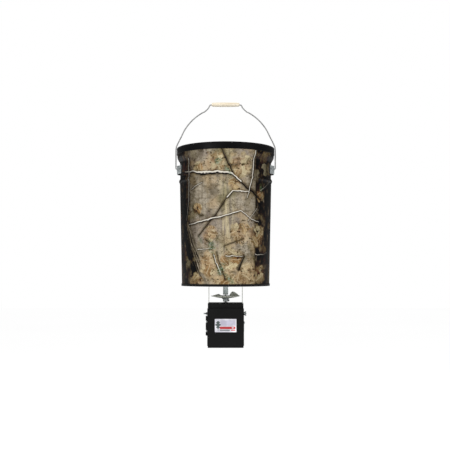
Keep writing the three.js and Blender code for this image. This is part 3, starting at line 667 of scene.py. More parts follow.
def camouflage():
    """Own woodland print on satin enamel: bark, trunks, branches, leaves and sprigs, with painted shade
    towards the sides.
    """
    paint = Paint("camo_print", STONE, 0.5, Specular_IOR_Level=0.12)
    x, y, z = paint.axes()
    u_flat = x.angle_from(-y) * PAIL_RADIUS
    v_flat = (z - PAIL_BASE) * 10
    flat = paint.vector(u_flat, v_flat)
    sway = (paint.noise(1.7, 3, 0.55, flat) - 0.5) * 0.22
    jitter = (paint.noise(8, 2, 0.5, flat) - 0.5) * 0.03
    u = u_flat + sway * 0.7 + jitter
    v = v_flat + sway + jitter
    color = bark_ground(paint, u_flat, v_flat, flat)

    # A straw-coloured upright band behind the middle, and warm or mossy stains.
    streak = paint.noise(3.0, 4, 0.6, paint.vector(u_flat * 2.6, v_flat * 0.22))
    column = (u_flat + sway * 0.5 - 0.02).absolute().step(0.05, 0.34, 1.0, 0.0) * streak.step(0.40, 0.56)
    color = paint.blend(column * 0.62, color, STRAW)
    warm = paint.noise(1.3, 4, 0.6, paint.vector(u_flat + 3.1, v_flat)) + v_flat.step(0.0, 2.2, 0.12, 0.0)
    color = paint.blend(warm.step(0.50, 0.66) * 0.55, color, TAN)
    mossy = paint.noise(1.6, 4, 0.6, paint.vector(u_flat - 5.3, v_flat))
    color = paint.blend(mossy.step(0.52, 0.68) * 0.5, color, (0.105, 0.098, 0.05))

    # Dark furrowed uprights: trunks of the print, and at the front's two sides painted shade.
    furrow = paint.noise(4.6, 6, 0.68, paint.vector(u_flat * 1.5, v_flat * 0.62))
    shade = paint.ramp(furrow, (0.42, BLACK), (0.50, CHAR), (0.57, UMBER), (0.70, (0.24, 0.2, 0.16)))
    for middle, half, soft, strength in SHADOWED:
        reach = (u_flat + sway * soft - middle).absolute()
        color = paint.blend(reach.step(half - soft, half + soft, strength, 0.0), color, shade)

    # A leaning trunk at the lower left of the front: black on its left, grey bark on its right.
    lean = u_flat + 0.86 + (v_flat - 0.2) * 0.38 + sway * 0.4
    ridges = (paint.noise(5, 5, 0.7, paint.vector(lean * 4.2, v_flat * 0.5)) - 0.5) * 1.7 + 0.42
    trunk_tone = ridges + lean.step(-0.16, 0.12, -0.16, 0.16)
    trunk = paint.ramp(trunk_tone, (0.36, BLACK), (0.46, CHAR), (0.56, TAUPE), (0.72, STONE), (0.85, PALE))
    inside = lean.absolute().step(0.23, 0.28, 1.0, 0.0) * v_flat.step(1.75, 2.05, 1.0, 0.0)
    inside = inside * v_flat.step(0.12, 0.2)
    color = paint.blend(inside * 0.95, color, trunk)

    # Far leaves: soft and dull, over most of the print.
    mask, pick, ribs, leaf_shade = leaf_layer(paint, u, v, 2.1, 0.37, 0.5, 0.22, 2)
    stops = ((0.0, TAUPE), (0.35, (0.30, 0.235, 0.15)), (0.65, (0.2, 0.13, 0.07)), (0.95, (0.36, 0.31, 0.21)))
    dull = paint.ramp(pick, *stops)
    dull = paint.blend(leaf_shade * 0.75, dull, UMBER)
    scatter = paint.noise(1.2, 3, 0.55, paint.vector(u_flat - 1.7, v_flat + 2.0))
    color = paint.blend(mask * scatter.step(0.47, 0.56) * 0.6, color, dull)

    # Near leaves: straw to rust, in clumps.
    clumps = clump_field(u, v) + (paint.noise(3.2, 3, 0.6, flat) - 0.5) * 0.9
    stops = ((0.36, UMBER), (0.46, RUST), (0.54, TAN), (0.64, STRAW), (0.72, TAUPE))
    litter = paint.ramp(paint.noise(3.4, 5, 0.68, flat), *stops)
    color = paint.blend(clumps.step(0.0, 0.55) * 0.6, color, litter)
    stops = ((0.0, RUST), (0.25, TAN), (0.5, STRAW), (0.72, (0.33, 0.18, 0.075)), (0.9, (0.46, 0.37, 0.22)))
    for scale, shift, length, width, lobes in ((1.6, 1.9, 0.62, 0.22, 3), (2.6, 4.3, 0.40, 0.14, 2)):
        mask, pick, ribs, leaf_shade = leaf_layer(paint, u, v, scale, shift, length, width, lobes)
        tint = paint.ramp(pick, *stops)
        tint = paint.blend(leaf_shade * 0.78, tint, (0.085, 0.042, 0.02))
        tint = paint.blend(ribs * 0.4, tint, (0.6, 0.5, 0.33))
        color = paint.blend(mask * clumps.step(0.04, 0.3) * 0.92, color, tint)

    # Black gaps between the leaves and fine dark twigs of shadow.
    gaps = paint.noise(7.5, 5, 0.72, paint.vector(u_flat + 9.0, v_flat))
    gaps = gaps.step(0.555, 0.62) * clumps.step(-0.25, 0.15, 0.25, 0.8)
    color = paint.blend(gaps, color, (0.014, 0.011, 0.008))
    twigs = paint.noise(2.6, 4, 0.6, paint.vector(u_flat - 4.0, v_flat + 6.0)) - 0.5
    twigs = twigs.absolute().step(0.004, 0.012, 1.0, 0.0)
    color = paint.blend(twigs * 0.5, color, (0.03, 0.024, 0.018))

    # Branches: dark below and pale above, with a soft shadow on what lies behind.
    knots = paint.noise(14, 3, 0.6, flat)
    tones = (
        (DARK_BRANCHES, BLACK, (0.10, 0.08, 0.062)),
        (PALE_BRANCHES, (0.016, 0.013, 0.01), (0.58, 0.53, 0.46)),
    )
    for specs, dark_tone, light_tone in tones:
        depth, side = branches(u, v, specs)
        color = paint.blend(depth.step(-0.06, 0.0) * 0.5, color, (0.03, 0.024, 0.018))
        rim = (side + knots * 1.2 - 0.6).step(-0.45, 0.3)
        # Painted shade: the pale upper sides of the branches are dimmed towards the pail's far sides.
        in_shade = (u_flat.absolute() - 1.0).step(0.0, 0.5, 1.0, 0.42)
        tone = paint.blend(rim * in_shade, dark_tone, light_tone)
        color = paint.blend(depth.step(-0.004, 0.006), color, tone)

    # Green sprigs: fine needles along a few stems.
    for stem_u, stem_v, tilt, size in SPRIGS:
        su = u - stem_u + (v - stem_v) * tilt
        sv = v - stem_v
        reach = (su * su * 3.2 + sv * sv).root()
        needles = ((su.absolute() * 38 + sv * 46).sine() * 0.5 + 0.5) * 0.6 + 0.4
        patches = paint.noise(5, 3, 0.6, flat).step(0.36, 0.52)
        growth = needles * reach.step(size * 0.35, size, 1.0, 0.0) * patches
        green = paint.blend(knots.step(0.4, 0.62), MOSS, FROST)
        color = paint.blend(growth * 0.8, color, green)

    # Painted shade: the colour darkens towards the far sides, where the pail turns away.
    for middle, full, fade, strength in PAINTED_SIDE_SHADE:
        away = (u_flat - middle).absolute()
        color = paint.blend(away.step(full, fade, strength, 0.0), color, BLACK)
    grit = paint.noise(30, 4, 0.7, flat)
    color = paint.blend(grit.step(0.5, 0.7) * 0.35, color, CHAR)
    color = paint.adjusted(color, "ShaderNodeBrightContrast", ("Bright", "Contrast"), PRINT_CONTRAST)
    color = paint.adjusted(color, "ShaderNodeHueSaturation", ("Hue", "Saturation", "Value"), PRINT_COLOUR)
    paint.set("Base Color", color)
    cloud = paint.noise(11, 4)
    paint.set("Roughness", cloud.step(0.3, 0.7, 0.42, 0.55))
    paint.bump(paint.noise(420, 2) + cloud, 0.00005, 0.4)
    return paint.material


MATERIALS = {
    "camo_paint": camouflage(),
    "black_paint": powder_coat("black_powder_coat"),
    "lid_black": lid_enamel(),
    "zinc_wire": zinc("zinc_wire", (0.52, 0.52, 0.51), (0.3, 0.3, 0.3), 0.42, 160, 0.5),
    "zinc_plate": zinc("zinc_plate", (0.5, 0.54, 0.54), (0.26, 0.285, 0.285), 0.36, 120, 0.6),
    "galvanised": zinc("galvanised", (0.72, 0.74, 0.64), (0.5, 0.52, 0.43), 0.5, 110, 0.1),
    "bright_steel": bright_steel(),
    "pale_wood": wood(),
    "pale_tube": plastic("pale_tube", (0.6, 0.67, 0.66), 0.35, 500),
    "black_rubber": rubber("black_rubber", (0.012, 0.012, 0.012)),
    "dark_plastic": plastic("dark_plastic", (0.014, 0.0145, 0.0165)),
    "battery_plastic": plastic("battery_plastic", (0.035, 0.04, 0.05), 0.45),
    "printed_label": plastic("label_vinyl", (0.72, 0.71, 0.79), 0.3, 300, Coat_Weight=0.3),
    "screen_glass": screen_glass(),
    "button_rubber": rubber("button_rubber", (0.11, 0.12, 0.13)),
    "test_button": rubber("test_button", (0.38, 0.03, 0.02)),
    "red_wire": plastic("red_wire", (0.38, 0.015, 0.012), 0.35),
    "black_wire": plastic("black_wire", (0.014, 0.014, 0.014), 0.35),
}
LABEL_RED = plastic("label_red", (0.55, 0.035, 0.04), 0.35, 300)
LABEL_GREY = plastic("label_grey", (0.09, 0.115, 0.115), 0.35, 300)
LABEL_PALE = plastic("label_pale", (0.58, 0.56, 0.68), 0.35, 300)


def place_piece(piece, body, slot, *nodes, material=None):
    return finish_piece(piece, body, material or MATERIALS[slot], slot, *nodes)


# ---------------------------------------------------------------- bail and grip

WIRE = 2.0
PIVOT = -0.2066
ARC_RADIUS = 0.150
ARC_DROP = 0.157
SPLAY = 0.1569


def bail_half():
    """Right half of the wire, from its pin in the ear up to the grip."""
    pin = (0.1466, 0, PIVOT)
    elbow = (SPLAY, 0, PIVOT)
    shoulder = (SPLAY - 0.0002, 0, -0.143)
    points = [Vector(pin), *corner_arc(pin, elbow, shoulder, 0.0045, 7)]
    lowest = math.asin((ARC_DROP - 0.100) / ARC_RADIUS)
    highest = math.asin((ARC_DROP - 0.022) / ARC_RADIUS)
    guide = [(SPLAY, 0, PIVOT + 0.006), (SPLAY, 0, PIVOT + 0.028), shoulder, (0.1526, 0, -0.128)]
    for i in range(13):
        angle = lowest + (highest - lowest) * i / 12
        guide.append((ARC_RADIUS * math.cos(angle), 0, ARC_RADIUS * math.sin(angle) - ARC_DROP))
    guide += [(0.0548, 0, -0.0118), (0.0496, 0, -0.0024), (0.0452, 0, -0.0011), (0.024, 0, -0.0011)]
    return points + smooth_path(guide, 6)[1:]


def build_bail():
    right = bail_half()
    left = [Vector((-p.x, p.y, p.z)) for p in reversed(right)]
    wire = wire_piece("bail_wire_drawn", right + left, WIRE * MM, resolution=8)
    place_piece(wire, "bail", "zinc_wire", "bail_wire")
    # Turned wooden grip: barrel, eased ends, shallow turning grooves, a bore for the wire.
    half = 44.0
    profile = [(3.4, -half), (4.6, -half)]
    for i in range(41):
        t = -1 + i / 20
        groove = 0.28 if abs(abs(t) - 0.86) < 0.03 else 0.0
        eased = 0.7 * max(0, abs(t) - 0.93) / 0.07
        profile.append((7.0 - 1.0 * abs(t) ** 3 - eased - groove, t * (half - 0.5)))
    profile += [(4.6, half), (3.4, half)]
    grip = turned("bail_grip_turned", profile, at(0, 0, 0, "x"), 64, closed=True, smooth_angle=50)
    place_piece(grip, "grip", "pale_wood", "bail_grip")


# ---------------------------------------------------------------- pail, lid and bottom

SHEET = 0.8
WALL_LOW, WALL_FOOT = 136.6, 12.4       # radius and height where the wall starts to widen
WALL_SPREAD, WALL_RISE = 6.8, 297.0     # how much it widens, over what height
BEAD_LOW, BEAD_TALL, BEAD_RISE = 318.6, 15.6, 3.2


def wall_radius(height):
    """Radius of the tapered wall below the bead."""
    return WALL_LOW + WALL_SPREAD * (height - WALL_FOOT) / WALL_RISE


def wall_profile():
    """Outside of the pail wall, in millimetres above its lower rim, with its bead and flared collar."""
    outside = [(136.4, 1.4), (WALL_LOW, WALL_FOOT)]
    heights = [WALL_FOOT + WALL_RISE * i / 6 for i in range(1, 7)]
    outside += [(wall_radius(height), height) for height in heights]
    for i in range(13):
        t = i / 12
        bulge = BEAD_RISE * math.sin(math.pi * t) ** 1.4
        outside.append((143.6 - 0.9 * t + bulge, BEAD_LOW + BEAD_TALL * t))
    outside += [(142.75, 338.5), (142.9, 348), (143.15, 366), (143.3, 377.5)]
    for i in range(13):
        t = i / 12
        ease = t * t * (3 - 2 * t)
        outside.append((143.4 + 8.5 * ease, 381.4 + 21.0 * t))
    outside.append((151.9, 421))
    return outside


def build_pail():
    outside = wall_profile()
    rim = []
    for i in range(11):
        angle = math.radians(-10 + 205 * i / 10)
        rim.append((149.45 + 2.4 * math.cos(angle), 424.1 + 2.4 * math.sin(angle)))
    inside = [(radius - SHEET, height) for radius, height in reversed(outside)]
    bm = turned_bmesh(outside + rim + inside, FINE, closed=True)
    bm.transform(Matrix.Translation((0, 0, PAIL_BASE)))
    wall = mesh_piece("bucket_wall_shell", bm, 60)
    place_piece(wall, "hopper", "camo_paint", "bucket_wall")

    # Welded side seam down the back: a low lapped strip.
    low, high = 14.0, 312.0
    bm = bmesh.new()
    rows = []
    for i in range(25):
        height = low + (high - low) * i / 24
        radius = wall_radius(height) * MM
        row = []
        for offset, lift in ((-3.2, 0.02), (-2.6, 0.42), (0, 0.5), (2.6, 0.42), (3.2, 0.02)):
            row.append(bm.verts.new((offset * MM, radius + lift * MM, PAIL_BASE + height * MM)))
        rows.append(row)
    for a, b in zip(rows, rows[1:]):
        for i in range(4):
            bm.faces.new((a[i], a[i + 1], b[i + 1], b[i]))
        bm.faces.new((a[4], a[0], b[0], b[4]))
    bm.faces.new(rows[0])
    bm.faces.new(list(reversed(rows[-1])))
    seam = mesh_piece("side_seam", bm, 60)
    place_piece(seam, "hopper", "camo_paint")

    bottom = [
        (8.6, 6.4), (60, 6.4), (64, 5.7), (118, 5.7), (122, 6.4), (133.4, 6.4), (134.0, 5.6),
        (134.0, 0.5), (134.6, 0),
        (137.2, 0), (138.0, 0.4), (138.2, 1.2), (138.25, 4.0), (138.2, 6.6), (137.9, 7.3), (137.2, 7.5),
        (136.9, 7.2),
        (136.9, 1.0), (135.2, 1.0), (135.2, 7.4), (122, 7.4), (118, 6.7), (64, 6.7), (60, 7.4),
        (8.6, 7.4),
    ]
    piece = turned("bucket_bottom_sheet", bottom, Matrix.Translation((0, 0, PAIL_BASE)), FINE, closed=True)
    place_piece(piece, "hopper", "black_paint", "bucket_bottom")


def build_lid():
    top, radius = 430.4, 153.9
    inner = radius - 1.4
    profile = [
        (0, top - 4.6), (60, top - 4.6), (139, top - 4.6), (142, top - 1.4), (inner, top - 1.4),
        (inner, 409.6),
        (152.9, 409.2), (153.6, 409.3), (153.9, 409.8), (153.9, 412.4), (153.55, 412.9),
        (153.55, 426.6), (153.9, 427.2),
        (153.9, 429.0), (153.6, 429.8), (152.6, 430.4), (148, 430.3), (144, 430.4), (141, 430.3),
        (138.6, 427.6),
        (136, 427.2), (118, 427.2), (116, 427.9), (113, 427.9), (111, 427.2), (60, 427.2), (58, 427.6),
        (55, 427.6),
        (53, 427.2), (0, 427.2),
    ]
    lid = turned("lid_shell", profile, Matrix.Translation((0, 0, PAIL_BASE)), FINE)
    place_piece(lid, "hopper", "lid_black", "lid")
    gasket = [(147.7, 427.0), (149.5, 426.9), (151.3, 427.0), (151.4, 428.4)]
    gasket += [(149.5, 428.55), (147.6, 428.4)]
    ring = turned("lid_gasket_ring", gasket, Matrix.Translation((0, 0, PAIL_BASE)), 96, closed=True)
    place_piece(ring, "hopper", "black_rubber", "lid_gasket")


# ---------------------------------------------------------------- ears and their rivets

EAR_ANGLE = math.radians(13.5)


def strip_piece(name, path, thickness, width_axis_low, width_axis_high, plane, edge=0.3):
    """A bent sheet strip: path is its outer face in a plane, thickened inward and extruded across it."""
    points = [Vector(p) for p in path]
    count = len(points)
    offset = []
    for i, point in enumerate(points):
        before = points[i] - points[i - 1] if i else points[1] - points[0]
        after = points[i + 1] - points[i] if i < count - 1 else before
        normal = (before.normalized() + after.normalized()).normalized()
        side = Vector((-normal.y, normal.x))
        spread = 1 / max(0.5, abs(side.dot(Vector((-before.normalized().y, before.normalized().x)))))
        offset.append(point + side * thickness * spread)
    bm = bmesh.new()
    rings = []
    for across in (width_axis_low, width_axis_high):
        ring = [bm.verts.new(plane(p, across)) for p in points + list(reversed(offset))]
        rings.append(ring)
    total = len(rings[0])
    for i in range(total):
        j = (i + 1) % total
        bm.faces.new((rings[0][i], rings[0][j], rings[1][j], rings[1][i]))
    for i in range(count - 1):
        for ring in rings:
            bm.faces.new((ring[i], ring[i + 1], ring[total - 2 - i], ring[total - 1 - i]))
    piece = mesh_piece(name, bm, 40)
    round_edges(piece, edge)
    return piece


def foot_point(out, span):
    normal = Vector((math.cos(EAR_ANGLE), math.sin(EAR_ANGLE)))
    tangent = Vector((-normal.y, normal.x))
    return normal * out + tangent * span


def ear_path():
    """Outer face of the ear in plan, in millimetres, from its front foot to its rear foot."""
    face = 153.0
    bend, heel, toe = (face, 13.4), foot_point(144.8, -5), foot_point(144.8, 8.5)
    upper = [Vector((face, 0)), *corner_arc((face, 0), bend, heel, 3.0)]
    upper += [*corner_arc(bend, heel, toe, 3.0), toe]
    lower = [Vector((p.x, -p.y)) for p in reversed(upper[1:])]
    return lower + upper


def build_ears():
    pivot_height = PAIL_BASE + 0.3658
    for side, turn, name in ((1, 0.0, "right"), (-1, math.pi, "left")):
        spin = Matrix.Rotation(turn, 4, "Z")

        def plane(point, height):
            return spin @ Vector((point.x * MM, point.y * MM, PAIL_BASE + height * MM))

        ear = strip_piece(f"{name}_ear_strap", ear_path(), 1.5, 349.4, 375.4, plane, 0.4)
        cutter = turned("hole_cutter", [(0, 0), (2.7, 0), (2.7, 12), (0, 12)], None, 32)
        cutter.matrix_world = spin @ at(0.146, 0, pivot_height, "x")
        cut = ear.modifiers.new("pivot_hole", "BOOLEAN")
        cut.operation = "DIFFERENCE"
        cut.object = cutter
        cut.solver = "EXACT"
        bake(ear)
        bpy.data.objects.remove(cutter)
        place_piece(ear, "hopper", "zinc_plate", f"{name}_ear")
        collar = [(2.75, 0), (4.6, 0), (4.6, 0.5), (4.1, 0.9), (3.1, 0.9), (2.75, 0.6)]
        ring = turned(f"{name}_ear_collar", collar, spin @ at(0.153, 0, pivot_height, "x"), 40, closed=True)
        place_piece(ring, "hopper", "zinc_plate")
        for label, angle in (("rear", side * EAR_ANGLE), ("front", -side * EAR_ANGLE)):
            dome = [(0, 140.2), (3.4, 140.3), (3.8, 140.9), (3.8, 141.6), (2.2, 141.6), (2.2, 145.2)]
            dome.append((4.6, 145.2))
            slopes = [math.radians(degrees) for degrees in (12, 30, 50, 70)]
            dome += [(4.6 * math.cos(a), 145.2 + 2.0 * math.sin(a)) for a in slopes]
            dome.append((0, 147.2))
            row = Matrix.Translation((0, 0, PAIL_BASE + 0.3624))
            place = spin @ Matrix.Rotation(angle, 4, "Z") @ row @ along("x")
            rivet = turned(f"{name}_ear_rivet_{label}_dome", dome, place, 32)
            place_piece(rivet, "hopper", "bright_steel", f"{name}_ear_rivet_{label}")


def bake(piece):
    """Applies a piece's modifiers to its mesh."""
    bpy.context.view_layer.update()
    evaluated = piece.evaluated_get(bpy.context.evaluated_depsgraph_get())
    mesh = bpy.data.meshes.new_from_object(evaluated)
    piece.modifiers.clear()
    piece.data = mesh
    mesh.shade_smooth()
    mesh.set_sharp_from_angle(angle=math.radians(35))


# ---------------------------------------------------------------- drop tube and hanger straps


def build_tube():
    profile = [
        (6.0, -27.6), (7.5, -27.6), (8.0, -27.1), (8.0, 7.8), (21.4, 7.8), (22, 8.3), (21.8, 9.2),
        (12, 9.8), (8, 9.8),
        (6.4, 9.2), (6.0, 8.0),
    ]
    tube = turned("drop_tube_moulding", profile, Matrix.Translation((0, 0, PAIL_BASE)), 64, closed=True)
    place_piece(tube, "hopper", "pale_tube", "drop_tube")
    place_piece(refined("tube_nut_hex", "tube_nut", 0.5), "hopper", "zinc_plate", "tube_nut")


STRAP_BOLT_X = 0.066


def build_straps():
    inside, foot = 51.4, 6.0
    for name, side in (("right", 1), ("left", -1)):
        low, corner, toe = Vector((inside, -102.6)), Vector((inside, foot)), Vector((78, foot))
        path = [low, *corner_arc(low, corner, toe, 3.2), toe]

        def plane(point, across):
            return Vector((side * point.x * MM, across * MM, PAIL_BASE + point.y * MM))

        strap = strip_piece(f"{name}_hanger_strap", path[::-1], 1.5, -13, 13, plane, 0.25)
        place_piece(strap, "hopper", "galvanised", f"{name}_strap")
        bolt = [(0, 0.2), (2.0, 0.2), (2.4, 0.6), (2.4, 7.8), (4.8, 7.8), (4.8, 8.6), (4.2, 9.5)]
        bolt += [(2.6, 10.0), (0, 10.0)]
        place = Matrix.Translation((side * STRAP_BOLT_X, 0, PAIL_BASE))
        head = turned(f"{name}_strap_bolt_head", bolt, place, 32)
        place_piece(head, "hopper", "zinc_plate", f"{name}_strap_bolt")
        nut = refined(f"{name}_strap_nut_hex", f"{name}_strap_nut", 0.3)
        place_piece(nut, "hopper", "zinc_plate", f"{name}_strap_nut")


# ---------------------------------------------------------------- control box

# Flat-faced CAD pieces that keep their shape and get clean, rounded edges: (node, body, slot, edge width).
EDGED = [
    ("housing", "hopper", "black_paint", 0.55), ("door", "door", "black_paint", 0.5),
    ("housing_hinge_leaf", "hopper", "black_paint", 0.25),
    ("door_hinge_leaf", "door", "black_paint", 0.25),
    ("timer_panel", "hopper", "galvanised", 0.25), ("timer_case", "hopper", "dark_plastic", 0.45),
    ("timer_screen", "hopper", "screen_glass", 0.2), ("battery", "hopper", "battery_plastic", 0.8),
    ("battery_strap", "hopper", "galvanised", 0.2),
    ("battery_tab_negative", "hopper", "bright_steel", 0.12),
    ("battery_tab_positive", "hopper", "bright_steel", 0.12),
    ("door_gasket", "door", "black_rubber", 0.3),
    ("door_label", "door", "printed_label", 0.12), ("latch_hook", "latch", "zinc_plate", 0.18),
    ("motor_pad", "hopper", "black_rubber", 0.3),
    ("left_wing_nut", "left_wing_nut", "zinc_plate", 0.5),
    ("right_wing_nut", "right_wing_nut", "zinc_plate", 0.5),
]


def build_edged():
    for node, body, slot, width in EDGED:
        place_piece(refined(f"{node}_edged", node, width), body, slot, node)


def build_box_turned():
    """Round pieces of the control box, given as (piece, node, body, slot, profile, place)."""
    bolt_head = [(0, 47.6), (4.2, 47.7), (4.6, 48.2), (4.6, 50.9), (2.4, 50.9)]
    threads = [(2.4 - 0.22 * (i % 2), 51.6 + 0.35 * i) for i in range(46)]
    right_bolt = [*bolt_head, *threads[:36], (2.3, 64.3), (1.7, 65), (0, 65)]
    left_bolt = [*bolt_head, *threads, (2.3, 67.9), (1.7, 68.6), (0, 68.6)]
    can = [(0, -44), (15.8, -44), (17, -43), (17, -36), (16.6, -35.5), (16.6, -33.5), (17, -33)]
    can += [(17, -5.6), (16.2, -4.4), (3.5, -4.4), (3.4, -5), (3.4, -20), (0, -20)]
    cap = [(0, -49), (4, -49), (4.4, -48.4), (10.6, -48.6), (11, -48.2), (16, -46), (16, -44.4), (0, -44.4)]
    bush = [(3.4, -3), (5.6, -3), (5.6, 0.4), (9, 0.4), (9, 1.6), (8.2, 2.6), (5, 2.8), (3.4, 2.8)]
    shaft = [(0, -19.5), (2.8, -19.5), (3, -19.2), (3, 15.2), (2.4, 15.8), (0, 15.8)]
    hub = [
        (3.4, 4.6), (8.1, 4.6), (8.6, 5.1), (8.6, 5.4), (8.2, 5.7), (8.2, 11.3), (8.6, 11.6),
        (8.6, 12.2), (11, 12.7),
        (11, 14.8), (5.2, 14.8), (5.2, 16.8), (6.6, 16.8), (6.2, 17.4), (5.6, 17.7), (3.4, 17.7),
    ]
    screw = [(0, 3.4), (2, 3.4), (2, 9), (2.9, 9), (3.2, 9.2)]
    screw += [(3.2 - 0.12 * (i % 2), 9.4 + 0.2 * i) for i in range(9)]
    screw += [(2.8, 11.6), (2.4, 11.8), (0, 11.6)]
    pin = [(0, -97.6), (1.8, -97.5), (2.2, -97.1), (2.2, -96.3), (1.2, -96.3), (1.2, -37.7)]
    pin += [(2.2, -37.7), (2.2, -36.9), (1.8, -36.5), (0, -36.4)]
    motor_screw = [(0, -10), (1.45, -9.6), (1.45, 0.4), (3, 0.4), (3, 1.3), (2.4, 2.0), (1.3, 2.3), (0, 2.3)]
    rivet = [(0, 51.8), (3.0, 51.8), (3.2, 52.1), (3.2, 53), (2, 53), (2, 54.8), (3.4, 54.8)]
    rivet += [(3.4, 56.0), (2, 56.0), (2, 57.6), (3.8, 57.6), (3.6, 58.0), (2.8, 58.35), (0, 58.4)]
    stud = [(0, 0), (2, 0), (2, 1.5), (3.2, 1.5), (3.1, 1.9), (2.5, 2.3), (0, 2.3)]
    box = Matrix.Translation((0, 0, BOX_TOP))
    table = [
        ("right_clamp_bolt", "hopper", "zinc_plate", right_bolt, at(*box_point(0, 0, -33), "x"), False),
        ("left_clamp_bolt", "hopper", "zinc_plate", left_bolt, at(*box_point(0, 0, -33), "-x"), False),
        ("motor", "hopper", "bright_steel", can, box, False),
        ("motor_end_cap", "hopper", "dark_plastic", cap, box, False),
        ("shaft_bush", "hopper", "dark_plastic", bush, box, True),
        ("motor_shaft", "spinner", "bright_steel", shaft, box, False),
        ("spinner_hub", "spinner", "zinc_plate", hub, box, True),
        ("set_screw", "spinner", "dark_plastic", screw, at(*box_point(0, 0, 8.4), "x"), False),
        ("hinge_pin", "hopper", "zinc_plate", pin, at(*box_point(-58.3, -47, 0)), False),
        ("motor_screw_left", "hopper", "zinc_plate", motor_screw, at(*box_point(-12, 0, 0)), False),
        ("motor_screw_right", "hopper", "zinc_plate", motor_screw, at(*box_point(12, 0, 0)), False),
        ("latch_rivet", "hopper", "bright_steel", rivet, at(*box_point(0, -22, -59), "x"), False),
        ("latch_stud", "door", "bright_steel", stud, at(*box_point(56.3, -44, -59), "x"), False),
    ]
    for node, body, slot, profile, place, closed in table:
        place_piece(turned(f"{node}_turned", profile, place, closed=closed), body, slot, node)
    for node, x in (("button_set", -21), ("button_down", -7), ("button_up", 7), ("button_test", 21)):
        key = [(0, 45.4), (3.4, 45.4), (3.4, 50.9), (3.2, 51.5), (2.7, 51.8), (1.6, 51.6), (0, 51.4)]
        slot = "test_button" if node == "button_test" else "button_rubber"
        place_piece(turned(f"{node}_key", key, at(*box_point(x, 0, -56), "-y")), node, slot, node)


FIN_TIPS = (36, 28, 28, 28)         # top of each fin above the control box, a quarter turn apart
FIN_STEPS, FIN_ROWS = 28, 6         # faces along a fin and up it


def build_spinner_plate():
    """Bowl-shaped plate with a rolled edge, one tall fin and three low ones that rise from it."""
    top, dish, radius, sheet = 16.4, 6.0, 45.5, 1.2

    def bowl(r):
        return top + dish * (max(0, r - 13) / (radius - 13)) ** 1.3

    steps = [13 + (radius - 13.4) * i / 14 for i in range(15)]
    rim_top = bowl(radius)
    upper = [(r, bowl(r)) for r in reversed(steps)]
    lower = [(r, bowl(r) - sheet) for r in steps]
    edge = [(radius, rim_top - sheet + 0.1), (radius + 0.2, rim_top - sheet / 2), (radius, rim_top - 0.1)]
    profile = [(5.6, top - sheet), *lower, *edge, *upper, (5.6, top)]
    plate = turned("spinner_plate_dish", profile, Matrix.Translation((0, 0, BOX_TOP)), 96, closed=True)
    place_piece(plate, "spinner", "galvanised", "spinner_plate")

    def outline(t, tip):
        """Radius and height of a fin's upper edge at a share of the way from its inner to its outer end."""
        r = 10.6 + 32.6 * t
        rise = (t / 0.3) ** 0.5 if t < 0.3 else 1 - ((t - 0.3) / 0.7) ** 2.0
        return r, bowl(r) + 0.3 + (tip - 0.3 - bowl(r)) * rise

    for index, tip in enumerate(FIN_TIPS):
        turn = Matrix.Translation((0, 0, BOX_TOP)) @ Matrix.Rotation(math.radians(90 * index), 4, "Z")
        bm = bmesh.new()
        rows = []
        for i in range(FIN_STEPS + 1):
            r, high = outline(i / FIN_STEPS, tip)
            foot = bowl(r) - 0.2
            row = []
            for k in range(FIN_ROWS + 1):
                h = k / FIN_ROWS
                row.append((r, 1.4 * h * h, foot + (high - foot) * h))
            rows.append(row)
        sides = []
        for offset in (-0.6, 0.6):
            side = []
            for row in rows:
                side.append([bm.verts.new((x * MM, (y + offset) * MM, z * MM)) for x, y, z in row])
            sides.append(side)
        near, far = sides
        for i in range(FIN_STEPS):
            for k in range(FIN_ROWS):
                bm.faces.new((near[i][k], near[i + 1][k], near[i + 1][k + 1], near[i][k + 1]))
                bm.faces.new((far[i][k], far[i][k + 1], far[i + 1][k + 1], far[i + 1][k]))
            bm.faces.new((near[i][-1], near[i + 1][-1], far[i + 1][-1], far[i][-1]))
            bm.faces.new((near[i][0], far[i][0], far[i + 1][0], near[i + 1][0]))
        for k in range(FIN_ROWS):
            bm.faces.new((near[0][k], near[0][k + 1], far[0][k + 1], far[0][k]))
            bm.faces.new((near[-1][k], far[-1][k], far[-1][k + 1], near[-1][k + 1]))
        bm.transform(turn)
        fin = mesh_piece(f"spinner_fin_{index + 1}", bm, 50)
        round_edges(fin, 0.25)
        place_piece(fin, "spinner", "galvanised")


# ---------------------------------------------------------------- label print


def flat_print(name, points, material, height, lift):
    """A thin printed shape on the label. Points are (x, z) in millimetres from the label's middle."""
    bm = bmesh.new()
    front = box_point(0, -58.0 - lift, height)
    depth = 0.06 * MM
    faces = []
    for y in (front[1], front[1] + depth):
        faces.append([bm.verts.new((x * MM, y, front[2] + z * MM)) for x, z in points])
    count = len(points)
    bm.faces.new(faces[0])
    bm.faces.new(list(reversed(faces[1])))
    for i in range(count):
        j = (i + 1) % count
        bm.faces.new((faces[0][i], faces[1][i], faces[1][j], faces[0][j]))
    piece = mesh_piece(name, bm, 30)
    return finish_piece(piece, "door", material, "printed_label")


def rounded_bar(x0, z0, x1, z1, radius, steps=5):
    points = []
    for cx, cz, start in ((x1 - radius, z1 - radius, 0), (x0 + radius, z1 - radius, 90),
                          (x0 + radius, z0 + radius, 180), (x1 - radius, z0 + radius, 270)):
        for k in range(steps + 1):
            angle = math.radians(start + 90 * k / steps)
            points.append((cx + radius * math.cos(angle), cz + radius * math.sin(angle)))
    return points


def leaf_outline(length, width, lobes=3, steps=48):
    """An oak-like leaf standing upright, as points round its edge."""
    points = []
    for side in (1, -1):
        run = range(steps + 1) if side > 0 else range(steps - 1, 0, -1)
        for i in run:
            t = i / steps
            half = width * math.sin(math.pi * t) ** 0.7 * (0.74 - 0.28 * math.cos(2 * math.pi * lobes * t))
            points.append((side * max(half, 0.25), (t - 0.5) * length))
    return points


